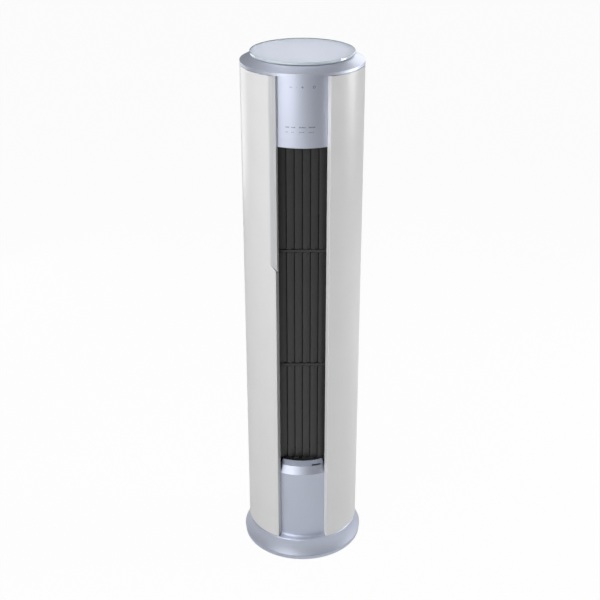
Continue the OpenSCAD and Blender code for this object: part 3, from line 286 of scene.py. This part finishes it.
def silver_blue_paint():
    """Satin metallic paint of the base, the covers and the cap."""
    finish = Finish("silver_blue_paint", 0.52, 0.75, coat_weight=0.15, coat_roughness=0.2)
    mottle = finish.group(MOTTLE, Color=rgba((0.65, 0.69, 0.81)), Amount=0.04)
    flake = finish.group(FLAKE)
    bright = finish.mix(finish.remap(flake["Mask"], 0.75, 1.0, 0.0, 0.35), mottle["Color"],
                        rgba((0.80, 0.83, 0.92)))
    worn = finish.mix(finish.group(EDGE_WEAR)["Mask"], bright, rgba((0.72, 0.74, 0.80)))
    lying = finish.group(DUST, Amount=0.10)["Mask"]
    finish.color(finish.mix(lying, worn, rgba((0.55, 0.55, 0.56))))
    finish.roughness(finish.remap(mottle["Value"], 0.3, 0.7, 0.48, 0.56))
    finish.bump(finish.group(GRAIN, Scale=1500.0)["Height"], 0.01 * MM)
    return finish.material


def brushed_grey():
    """Grey metallic strip of the grip, brushed along its length."""
    finish = Finish("brushed_grey", 0.5, 0.35)
    brush = finish.group(BRUSHING)
    shade = finish.mix(brush["Mask"], rgba((0.72, 0.73, 0.75)), rgba((0.82, 0.83, 0.85)))
    finish.color(finish.mix(finish.group(EDGE_WEAR)["Mask"], shade, rgba((0.82, 0.82, 0.84))))
    finish.roughness(finish.remap(brush["Mask"], 0.0, 1.0, 0.42, 0.56))
    finish.bump(brush["Height"], 0.02 * MM)
    return finish.material


def galvanised():
    """Zinc coated sheet with its crystal pattern."""
    finish = Finish("galvanised_sheet", 0.42, 0.9)
    crystal = finish.group(SPANGLE)["Mask"]
    shade = finish.mix(crystal, rgba((0.50, 0.52, 0.54)), rgba((0.66, 0.67, 0.69)))
    lying = finish.group(DUST, Amount=0.35)["Mask"]
    finish.color(finish.mix(lying, shade, rgba((0.40, 0.39, 0.37))))
    finish.roughness(finish.remap(crystal, 0.0, 1.0, 0.34, 0.50))
    finish.bump(crystal, 0.01 * MM)
    return finish.material


def bare_metal(name, color, roughness, tarnish):
    """Turned, drawn or plated metal with darker tarnish in patches."""
    finish = Finish(name, roughness, 1.0)
    patch = finish.group(MOTTLE, Color=rgba(color), Scale=60.0, Amount=0.15)
    mask = finish.remap(patch["Value"], 0.5, 0.75, 0.0, 0.6)
    finish.color(finish.mix(mask, patch["Color"], rgba(tarnish)))
    finish.roughness(finish.remap(patch["Value"], 0.3, 0.7, roughness - 0.06, roughness + 0.12))
    finish.bump(finish.group(GRAIN, Scale=2400.0)["Height"], 0.01 * MM)
    return finish.material


def fin_aluminium():
    """Thin pressed aluminium fins with a light blue coating."""
    finish = Finish("fin_aluminium", 0.38, 0.85)
    mottle = finish.group(MOTTLE, Color=rgba((0.66, 0.70, 0.76)), Scale=18.0, Amount=0.18)
    lying = finish.group(DUST, Scale=14.0, Amount=0.3)["Mask"]
    finish.color(finish.mix(lying, mottle["Color"], rgba((0.45, 0.44, 0.42))))
    finish.roughness(finish.remap(mottle["Value"], 0.3, 0.7, 0.30, 0.48))
    finish.bump(finish.group(GRAIN, Scale=900.0)["Height"], 0.03 * MM)
    return finish.material


# Threads of the filter's net, from middle to middle
NET_PITCH = 1.6 * MM


def filter_net():
    """Fine woven nylon net, open between its threads."""
    finish = Finish("filter_net", 0.55)
    coords = finish.node("ShaderNodeSeparateXYZ", {0: finish.coords()}).outputs
    angle = finish.math("ARCTAN2", coords["X"], coords["Y"])
    around = finish.math("MULTIPLY", angle, math.pi * PANEL_R / NET_PITCH)
    upright = finish.math("MULTIPLY", coords["Z"], math.pi / NET_PITCH)
    thread = finish.math("MAXIMUM", finish.math("ABSOLUTE", finish.math("SINE", around)),
                         finish.math("ABSOLUTE", finish.math("SINE", upright)))
    solid = finish.remap(thread, 0.80, 0.86, 0.0, 1.0)
    mottle = finish.group(MOTTLE, Color=rgba((0.07, 0.075, 0.08)), Scale=12.0, Amount=0.3)
    finish.color(mottle["Color"])
    finish.feed(finish.shader.inputs["Alpha"], solid)
    finish.bump(thread, 0.15 * MM)
    return finish.material


def circuit_board():
    """Green solder resist with copper tracks under it."""
    finish = Finish("circuit_board", 0.35, coat_weight=0.3)
    cells = finish.node("ShaderNodeTexBrick", {
        "Vector": finish.coords(), "Color1": rgba((0.02, 0.16, 0.06)),
        "Color2": rgba((0.03, 0.22, 0.09)), "Mortar": rgba((0.01, 0.10, 0.04)),
        "Scale": 120.0, "Mortar Size": 0.05})
    mottle = finish.group(MOTTLE, Color=cells.outputs["Color"], Scale=40.0, Amount=0.1)
    finish.color(mottle["Color"])
    finish.bump(cells.outputs["Fac"], 0.03 * MM)
    return finish.material


# Stretch inside the glass's edge over which its colour turns green
RIM_START = 1.6 * MM
RIM_END = 0.4 * MM


def clear_glass():
    """Thick clear glass, a little green towards its rim."""
    finish = Finish("clear_glass", 0.02, transmission_weight=1.0, ior=1.5)
    coords = finish.coords()
    place = finish.node("ShaderNodeSeparateXYZ", {0: coords}).outputs
    flat = finish.node("ShaderNodeCombineXYZ", {"X": place["X"], "Y": place["Y"]}).outputs[0]
    radius = finish.node("ShaderNodeVectorMath", {0: flat}, operation="LENGTH").outputs["Value"]
    rim = finish.remap(radius, GLASS_HIGH.x - RIM_START, GLASS_HIGH.x - RIM_END, 0.0, 1.0)
    finish.color(finish.mix(rim, rgba((0.97, 0.99, 1.0)), rgba((0.93, 0.97, 0.98))))
    shadow = finish.node("ShaderNodeLightPath").outputs["Is Shadow Ray"]
    finish.feed(finish.shader.inputs["Alpha"], finish.remap(shadow, 0.0, 1.0, 1.0, 0.08))
    smear = finish.noise(coords, 9.0, 4.0, 0.6)
    finish.roughness(finish.remap(smear, 0.35, 0.75, 0.01, 0.06))
    return finish.material


def rim_tint_and_reflection():
    """Tint at the rim of thick glass: pale from outside; from inside, its green tint darkened by a
    painted reflection.
    """
    finish = Finish("rim_tint_and_reflection", 0.35)
    mottle = finish.group(MOTTLE, Color=rgba((0.40, 0.43, 0.46)), Scale=20.0)
    inside = finish.node("ShaderNodeNewGeometry").outputs["Backfacing"]
    # Seen from inside: dark green, the glass's own tint with a painted dark reflection
    finish.color(finish.mix(inside, mottle["Color"], rgba((0.02, 0.13, 0.14))))
    finish.bump(finish.group(GRAIN, Scale=900.0)["Height"], 0.01 * MM)
    return finish.material


def print_ink():
    """Grey ink of the icons and marks."""
    finish = Finish("print_ink", 0.45)
    mottle = finish.group(MOTTLE, Color=rgba((0.13, 0.14, 0.19)), Scale=300.0, Amount=0.2)
    finish.color(mottle["Color"])
    finish.bump(finish.group(GRAIN, Scale=3000.0)["Height"], 0.01 * MM)
    return finish.material


WHITE_SATIN = painted("white_satin", (0.83, 0.83, 0.83), 0.36, 700.0, 0.02 * MM,
                      dust=0.04, amount=0.03, coat_weight=0.3, coat_roughness=0.28)
WHITE_MOULDED = painted("white_moulded", (0.80, 0.80, 0.78), 0.5, 1100.0, 0.06 * MM, dust=0.1)
SILVER_BLUE = silver_blue_paint()
# Darker copy of the silver blue paint: painted shade on the outlet's sill
SILL_PAINTED_SHADE = painted("sill_painted_shade", (0.38, 0.41, 0.52), 0.42, 1300.0, 0.04 * MM)
OUTLET_DARK = painted("outlet_dark", (0.040, 0.040, 0.041), 0.42, 1300.0, 0.04 * MM,
                      dust=0.06, amount=0.15)
VANE_DARK = painted("vane_dark", (0.048, 0.048, 0.048), 0.36, 1300.0, 0.03 * MM,
                    dust=0.06, amount=0.15)
DUCT_DARK = painted("duct_dark", (0.035, 0.035, 0.037), 0.55, 900.0, 0.05 * MM, dust=0.15)
WHEEL_DARK = painted("wheel_dark", (0.030, 0.030, 0.033), 0.45, 900.0, 0.05 * MM, dust=0.2)
FRAME_GREY = painted("frame_grey", (0.55, 0.56, 0.57), 0.5, 1000.0, 0.05 * MM, dust=0.2)
COLLAR_GREY = painted("collar_grey", (0.34, 0.34, 0.34), 0.5, 1000.0, 0.05 * MM, dust=0.1)
PALE_PLASTIC = painted("pale_plastic", (0.76, 0.76, 0.73), 0.45, 1000.0, 0.04 * MM, dust=0.15,
                       subsurface_weight=0.05)
IVORY_PLASTIC = painted("ivory_plastic", (0.72, 0.68, 0.56), 0.45, 1000.0, 0.04 * MM)
BLACK_RUBBER = painted("black_rubber", (0.025, 0.025, 0.026), 0.7, 1500.0, 0.08 * MM,
                       wear=(0.09, 0.09, 0.09), dust=0.15)
POWDER_GREY = painted("powder_grey", (0.16, 0.16, 0.165), 0.55, 1800.0, 0.08 * MM,
                      wear=(0.4, 0.4, 0.41), dust=0.2)
FERRITE = painted("ferrite", (0.05, 0.05, 0.055), 0.6, 900.0, 0.08 * MM, dust=0.15)
BRUSHED_GREY = brushed_grey()
GALVANISED = galvanised()
ZINC_PLATED = bare_metal("zinc_plated", (0.70, 0.71, 0.73), 0.3, (0.42, 0.41, 0.40))
GROUND_STEEL = bare_metal("ground_steel", (0.68, 0.68, 0.69), 0.24, (0.40, 0.39, 0.38))
COPPER = bare_metal("copper_tube", (0.80, 0.42, 0.28), 0.28, (0.35, 0.16, 0.10))
FIN_ALUMINIUM = fin_aluminium()
# Dark finish of the fin block: painted shade of the deep gaps between the fins, with dust
FIN_SHADE = painted("fin_shade", (0.20, 0.21, 0.22), 0.55, 900.0, 0.05 * MM, dust=0.3)
FILTER_NET = filter_net()
CIRCUIT_BOARD = circuit_board()
CLEAR_GLASS = clear_glass()
RIM_TINT_AND_REFLECTION = rim_tint_and_reflection()
PRINT_INK = print_ink()
GLASS_PAINT = painted("glass_paint", (0.62, 0.64, 0.71), 0.4, 900.0, 0.01 * MM, dust=0.0,
                      amount=0.03)

VANES = [f"vane_{i}" for i in range(1, 7)]
NODE_FINISH = {
    WHITE_SATIN: ["left_panel", "right_panel"],
    WHITE_MOULDED: ["rear_housing"],
    SILVER_BLUE: ["base_plinth", "lower_cover", "display_panel", "top_cap"],
    SILL_PAINTED_SHADE: ["outlet_sill"],
    OUTLET_DARK: ["outlet_frame"],
    VANE_DARK: VANES,
    DUCT_DARK: ["scroll_wall", "tongue_wall"],
    WHEEL_DARK: ["fan_wheel"],
    FRAME_GREY: ["filter_frame"],
    COLLAR_GREY: ["pipe_collar"],
    PALE_PLASTIC: ["drain_pan", "drain_pipe", "vane_link"],
    IVORY_PLASTIC: ["terminal_block"],
    BLACK_RUBBER: ["rubber_feet", "fan_bearing", "cord_gland", "glass_gasket"],
    POWDER_GREY: ["base_plate"],
    FERRITE: ["door_magnets"],
    BRUSHED_GREY: ["grip_strip"],
    GALVANISED: ["left_column", "right_column", "top_plate", "lower_end_plate", "upper_end_plate",
                 "evaporator_brackets", "motor_bracket", "control_box", "control_lid",
                 "wall_bracket", "vane_motor", "fan_motor", "door_strikes"],
    ZINC_PLATED: ["base_screws", "front_screws", "housing_screws", "cap_screws", "motor_bolts"],
    GROUND_STEEL: ["fan_shafts", "hinge_pins"],
    COPPER: ["evaporator_bends", "gas_pipe", "liquid_pipe"],
    FIN_SHADE: ["evaporator_fins"],
    FILTER_NET: ["filter_mesh"],
    CIRCUIT_BOARD: ["main_board", "display_board"],
    CLEAR_GLASS: ["glass_disc"],
}


def dress_nodes():
    """Gives each CAD node its finish."""
    for material, names in NODE_FINISH.items():
        for name in names:
            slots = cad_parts[name].data.materials
            slots.clear()
            slots.append(material)


# Pieces that only the looks need


def finish_piece(name, mesh, material, body):
    """Makes an object of a mesh that lies in place, and sets it on its body."""
    piece = bpy.data.objects.new(name, mesh)
    bpy.context.scene.collection.objects.link(piece)
    mesh.materials.clear()
    mesh.materials.append(material)
    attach(piece, body)


def mesh_from(name, build, smooth=False):
    """New mesh that a function fills as a bmesh, with its normals made to point outwards."""
    shape = bmesh.new()
    build(shape)
    bmesh.ops.remove_doubles(shape, verts=shape.verts, dist=1e-6)
    bmesh.ops.recalc_face_normals(shape, faces=shape.faces)
    for face in shape.faces:
        face.smooth = smooth
    mesh = bpy.data.meshes.new(name)
    shape.to_mesh(mesh)
    shape.free()
    return mesh


def turns(sides):
    """Angles of a circle's corners."""
    return [math.tau * k / sides for k in range(sides)]


def add_skin(shape, loops, caps=True):
    """Skins a row of loops with the same number of corners, and closes both ends if caps is set."""
    rows = [[shape.verts.new(corner) for corner in loop] for loop in loops]
    if caps:
        shape.faces.new(rows[0])
        shape.faces.new(rows[-1])
    for near, far in zip(rows, rows[1:]):
        for i in range(len(near)):
            j = (i + 1) % len(near)
            shape.faces.new((near[i], near[j], far[j], far[i]))


# Icons and marks on the display
INK_T = 0.06 * MM
ICON_Z = PANEL_TOP - 33 * MM
ICON_PITCH = 35 * MM
ICON_HALF = 4 * MM
ICON_STROKE = 1.3 * MM
RING_SIDES = 32
MARK_Z = PANEL_TOP - 155 * MM
MARK_ROW = 15 * MM
MARK_PITCH = 4.2 * MM
MARK_SIZES = ((2.4 * MM, 3.2 * MM), (2.0 * MM, 2.2 * MM))
# Where each group starts on the arc, and its bars in the upper row; the lower row has one fewer
MARK_GROUPS = ((-50 * MM, 3), (-32 * MM, 3), (-9 * MM, 5), (20 * MM, 5))
# Longest straight piece of a bar's edge on the curved face
BAR_STEP = 3 * MM


def on_display(u, v, depth):
    """Point of the display's face at arc length u, height v and a small depth above it."""
    angle = u / DISPLAY_R
    radius = DISPLAY_R + depth
    return Vector((radius * math.sin(angle), -radius * math.cos(angle), v))


def add_bar(shape, u, v, width, height):
    """Adds an upright bar of ink, with enough points to follow the curved face."""
    steps = max(1, round(width / BAR_STEP))
    lower = [(u + width * (k / steps - 0.5), v - height / 2) for k in range(steps + 1)]
    upper = [(a, v + height / 2) for a, _ in reversed(lower)]
    add_skin(shape, [[on_display(a, b, depth) for a, b in lower + upper] for depth in (0.0, INK_T)])


def add_ring(shape, u, v, outer, inner):
    """Adds a ring of ink; its last loop repeats the first, and mesh_from merges the two."""
    corners = ((inner, 0.0), (outer, 0.0), (outer, INK_T), (inner, INK_T))
    loops = [[on_display(u + r * math.cos(t), v + r * math.sin(t), depth) for r, depth in corners]
             for t in turns(RING_SIDES)]
    add_skin(shape, loops + loops[:1], caps=False)


def display_icons():
    """Minus, dot, plus and ring of the touch surface."""

    def build(shape):
        add_bar(shape, -ICON_PITCH, ICON_Z, 2 * ICON_HALF, ICON_STROKE)
        add_bar(shape, -ICON_PITCH / 2, ICON_Z, ICON_STROKE, ICON_STROKE)
        add_bar(shape, 0, ICON_Z, 2 * ICON_HALF, ICON_STROKE)
        for side in (-1, 1):
            middle = ICON_Z + side * (ICON_HALF + ICON_STROKE / 2) / 2
            add_bar(shape, 0, middle, ICON_STROKE, ICON_HALF - ICON_STROKE / 2)
        add_ring(shape, ICON_PITCH, ICON_Z, ICON_HALF, ICON_HALF - ICON_STROKE)

    finish_piece("display_icons", mesh_from("display_icons", build), PRINT_INK, "cabinet")


def display_marks():
    """Two rows of plain indicator bars under the icons, in groups."""

    def build(shape):
        for row, (width, height) in enumerate(MARK_SIZES):
            for start, bars in MARK_GROUPS:
                for k in range(bars - row):
                    add_bar(shape, start + k * MARK_PITCH, MARK_Z - row * MARK_ROW, width, height)

    finish_piece("display_marks", mesh_from("display_marks", build), PRINT_INK, "cabinet")


# Layers in the glass
GLASS_SIDES = 128
PAINT_INSET = 1.2 * MM
PAINT_LIFT = 0.3 * MM
PAINT_T = 0.2 * MM
TINT_INSET = 0.8 * MM
TINT_GAP = 0.6 * MM


def glass_circle(inset, z):
    """Corners of a level circle at an inset from the rim of the glass."""
    radius = GLASS_HIGH.x - inset
    return [(radius * math.cos(t), radius * math.sin(t), z) for t in turns(GLASS_SIDES)]


def glass_backing():
    """Paint layer just above the underside of the glass."""
    low = GLASS_LOW.z + PAINT_LIFT

    def build(shape):
        add_skin(shape, [glass_circle(PAINT_INSET, z) for z in (low, low + PAINT_T)])

    finish_piece("glass_backing", mesh_from("glass_backing", build), GLASS_PAINT, "cabinet")


def glass_edge():
    """Thin band just inside the rim of the glass, which carries its tint and a painted dark
    reflection.
    """
    heights = (GLASS_LOW.z + TINT_GAP, GLASS_HIGH.z - TINT_GAP)

    def build(shape):
        add_skin(shape, [glass_circle(TINT_INSET, z) for z in heights], caps=False)

    finish_piece("glass_edge", mesh_from("glass_edge", build, smooth=True), RIM_TINT_AND_REFLECTION, "cabinet")


# Fins of the heat exchanger
COIL_DEPTH = 38 * MM
FIN_PITCH = 3 * MM
FIN_T = 0.3 * MM
FIN_PROUD = 0.7 * MM
FIN_JITTER = 0.12 * MM
FIN_SEED = 7
# Arc that a plate takes round the back, in degrees from its right end
FIN_START = 0.5
FIN_END = 179.5
FIN_STEPS = 48


def stack_group():
    """Copies a plate up a line with small uneven steps, as pressed fins have."""
    tree = bpy.data.node_groups.new("plate_stack", "GeometryNodeTree")
    wanted = (("Geometry", "NodeSocketGeometry"), ("Count", "NodeSocketInt"),
              ("Pitch", "NodeSocketFloat"), ("Jitter", "NodeSocketFloat"), ("Seed", "NodeSocketInt"),
              ("Finish", "NodeSocketMaterial"))
    sockets = {label: tree.interface.new_socket(label, in_out="INPUT", socket_type=kind).identifier
               for label, kind in wanted}
    tree.interface.new_socket("Geometry", in_out="OUTPUT", socket_type="NodeSocketGeometry")
    graph = Graph(tree)
    given = graph.node("NodeGroupInput").outputs
    step = graph.node("ShaderNodeCombineXYZ", {"Z": given["Pitch"]}).outputs[0]
    line = graph.node("GeometryNodeMeshLine", {"Count": given["Count"], "Offset": step},
                      mode="OFFSET")
    down = graph.math("MULTIPLY", given["Jitter"], -1.0)
    shift = graph.node("FunctionNodeRandomValue", {
        0: graph.node("ShaderNodeCombineXYZ", {"Z": down}).outputs[0],
        1: graph.node("ShaderNodeCombineXYZ", {"Z": given["Jitter"]}).outputs[0],
        "Seed": given["Seed"]}, data_type="FLOAT_VECTOR")
    moved = graph.node("GeometryNodeSetPosition", {
        "Geometry": line.outputs["Mesh"], "Offset": shift.outputs[0]})
    copies = graph.node("GeometryNodeInstanceOnPoints", {
        "Points": moved.outputs["Geometry"], "Instance": given["Geometry"]})
    real = graph.node("GeometryNodeRealizeInstances", {"Geometry": copies.outputs["Instances"]})
    dressed = graph.node("GeometryNodeSetMaterial", {
        "Geometry": real.outputs["Geometry"], "Material": given["Finish"]})
    graph.node("NodeGroupOutput", {"Geometry": dressed.outputs["Geometry"]})
    return tree, sockets


def fin_plate():
    """One half ring plate at the foot of the fin block, just proud of its faces."""
    step = (FIN_END - FIN_START) / FIN_STEPS
    arc = [math.radians(FIN_START + step * k) for k in range(FIN_STEPS + 1)]
    inner, outer = COIL_HIGH.x - COIL_DEPTH - FIN_PROUD, COIL_HIGH.x + FIN_PROUD
    low, high = COIL_LOW.z, COIL_LOW.z + FIN_T
    corners = [(inner, low), (inner, high), (outer, high), (outer, low)]

    def build(shape):
        add_skin(shape, [[(r * math.cos(a), r * math.sin(a), z) for r, z in corners] for a in arc])

    return mesh_from("fin_plate", build)


def coil_fins():
    """Stack of thin fins on the heat exchanger's block."""
    tree, sockets = stack_group()
    base = bpy.data.objects.new("fin_plate", fin_plate())
    bpy.context.scene.collection.objects.link(base)
    stack = base.modifiers.new("stack", "NODES")
    stack.node_group = tree
    count = round((COIL_HIGH.z - COIL_LOW.z) / FIN_PITCH)
    stack[sockets["Count"]] = count
    stack[sockets["Pitch"]] = (COIL_HIGH.z - COIL_LOW.z - FIN_T) / (count - 1)
    stack[sockets["Jitter"]] = FIN_JITTER
    stack[sockets["Seed"]] = FIN_SEED
    stack[sockets["Finish"]] = FIN_ALUMINIUM
    evaluated = base.evaluated_get(bpy.context.evaluated_depsgraph_get())
    mesh = bpy.data.meshes.new_from_object(evaluated)
    mesh.name = "coil_fins"
    base.modifiers.remove(stack)
    bpy.data.objects.remove(base)
    finish_piece("coil_fins", mesh, FIN_ALUMINIUM, "cabinet")


# Studio: floor, light and camera
ROOM_LIGHT = 0.07
CEILING_LIGHT = 0.12
# Upward parts of a direction between which the room's light turns into the ceiling's
CEILING_FROM = 0.35
CEILING_TO = 0.95
FLOOR_REACH = 20.0
FLOOR_PAPER = 0.75
# Shares of plain white that the floor shows to the camera, in gloss and through glass
FLOOR_SEEN = 0.965
FLOOR_MIRRORED = 0.12
FLOOR_THROUGH = 0.94
# Stretch inside the foot's edge over which that white fades away under the base
UNDER_START = 30 * MM
UNDER_END = 10 * MM


def floor_material():
    """White to the camera, in gloss and through glass, dimmed by shadows, dark under the base."""
    material = bpy.data.materials.new("studio_floor")
    material.use_nodes = True
    graph = Graph(material.node_tree)
    graph.tree.nodes.clear()
    path = graph.node("ShaderNodeLightPath").outputs
    seen = graph.math("MULTIPLY", path["Is Camera Ray"], FLOOR_SEEN)
    mirrored = graph.math("MULTIPLY", path["Is Glossy Ray"], FLOOR_MIRRORED)
    through = graph.math("MULTIPLY", path["Is Transmission Ray"], FLOOR_THROUGH)
    share = graph.math("MAXIMUM", graph.math("MAXIMUM", seen, mirrored), through)
    radius = graph.node("ShaderNodeVectorMath", {0: graph.coords()}, operation="LENGTH")
    open_floor = graph.remap(radius.outputs["Value"], BASE_R - UNDER_START, BASE_R - UNDER_END,
                             0.0, 1.0)
    share = graph.math("MULTIPLY", share, open_floor)
    paper = graph.node("ShaderNodeBsdfDiffuse", {"Color": rgba((FLOOR_PAPER,) * 3)})
    glow = graph.node("ShaderNodeEmission", {"Color": rgba((1, 1, 1)), "Strength": 1.0})
    mixed = graph.node("ShaderNodeMixShader", {
        0: share, 1: paper.outputs[0], 2: glow.outputs[0]})
    out = graph.node("ShaderNodeOutputMaterial")
    graph.feed(out.inputs["Surface"], mixed.outputs[0])
    return material


def studio_floor():
    """Large plain floor."""

    def build(shape):
        bmesh.ops.create_grid(shape, x_segments=1, y_segments=1, size=FLOOR_REACH)

    mesh = mesh_from("studio_floor", build)
    mesh.materials.append(floor_material())
    floor = bpy.data.objects.new("studio_floor", mesh)
    bpy.context.scene.collection.objects.link(floor)


def studio_world():
    """White to the camera; as light, a bright ceiling over a dim room."""
    world = bpy.data.worlds.new("studio")
    bpy.context.scene.world = world
    world.use_nodes = True
    graph = Graph(world.node_tree)
    graph.tree.nodes.clear()
    path = graph.node("ShaderNodeLightPath").outputs
    straight = graph.math("MAXIMUM", path["Is Camera Ray"], path["Is Transmission Ray"])
    direction = graph.node("ShaderNodeTexCoord").outputs["Generated"]
    upward = graph.node("ShaderNodeSeparateXYZ", {0: direction}).outputs["Z"]
    room = graph.node("ShaderNodeMapRange", {
        "Value": upward, "From Min": CEILING_FROM, "From Max": CEILING_TO,
        "To Min": ROOM_LIGHT, "To Max": CEILING_LIGHT},
        interpolation_type="SMOOTHSTEP").outputs["Result"]
    shown = graph.math("SUBTRACT", 1.0, straight)
    strength = graph.math("ADD", straight, graph.math("MULTIPLY", shown, room))
    light = graph.node("ShaderNodeBackground", {"Color": rgba((1, 1, 1)), "Strength": strength})
    out = graph.node("ShaderNodeOutputWorld")
    graph.feed(out.inputs["Surface"], light.outputs[0])


def softbox(name, azimuth, elevation, distance, size, power, aim=0.9):
    """Area lamp at an azimuth from the front and an elevation, turned to a height on the axis."""
    lamp = bpy.data.lights.new(name, "AREA")
    lamp.shape = "RECTANGLE"
    lamp.size, lamp.size_y = size
    lamp.energy = power
    body = bpy.data.objects.new(name, lamp)
    bpy.context.scene.collection.objects.link(body)
    a, e = math.radians(azimuth), math.radians(elevation)
    away = Vector((math.sin(a) * math.cos(e), -math.cos(a) * math.cos(e), math.sin(e)))
    body.location = Vector((0, 0, aim)) + away * distance
    body.rotation_mode = "QUATERNION"
    body.rotation_quaternion = away.to_track_quat("Z", "Y")
    body.visible_camera = False


def studio_camera():
    """Camera at the photograph's place, with a small shift for its framing."""
    data = bpy.data.cameras.new("camera")
    data.sensor_width = 36
    data.lens = CAMERA_LENS
    data.shift_x = (FRAME_PIXELS / 2 - AXIS_PIXEL) / FRAME_PIXELS
    camera = bpy.data.objects.new("camera", data)
    bpy.context.scene.collection.objects.link(camera)
    camera.location = CAMERA_PLACE
    camera.rotation_euler = (CAMERA_TILT, 0, 0)
    bpy.context.scene.camera = camera


dress_nodes()
display_icons()
display_marks()
glass_backing()
glass_edge()
coil_fins()
studio_floor()
studio_world()
softbox("key_softbox", azimuth=-30, elevation=22, distance=3.2, size=(1.2, 1.6), power=53)
softbox("side_softbox", azimuth=98, elevation=18, distance=3.0, size=(1.0, 2.2), power=56)
softbox("back_softbox", azimuth=154, elevation=34, distance=3.0, size=(1.6, 1.4), power=20)
softbox("fill_softbox", azimuth=-138, elevation=4, distance=3.0, size=(1.5, 1.8), power=14)
softbox("high_softbox", azimuth=-60, elevation=62, distance=4.0, size=(1.0, 1.0), power=26, aim=0.5)
softbox("top_softbox", azimuth=-100, elevation=74, distance=2.6, size=(0.9, 0.9), power=8, aim=1.7)
studio_camera()
bpy.context.scene.view_settings.view_transform = "Standard"
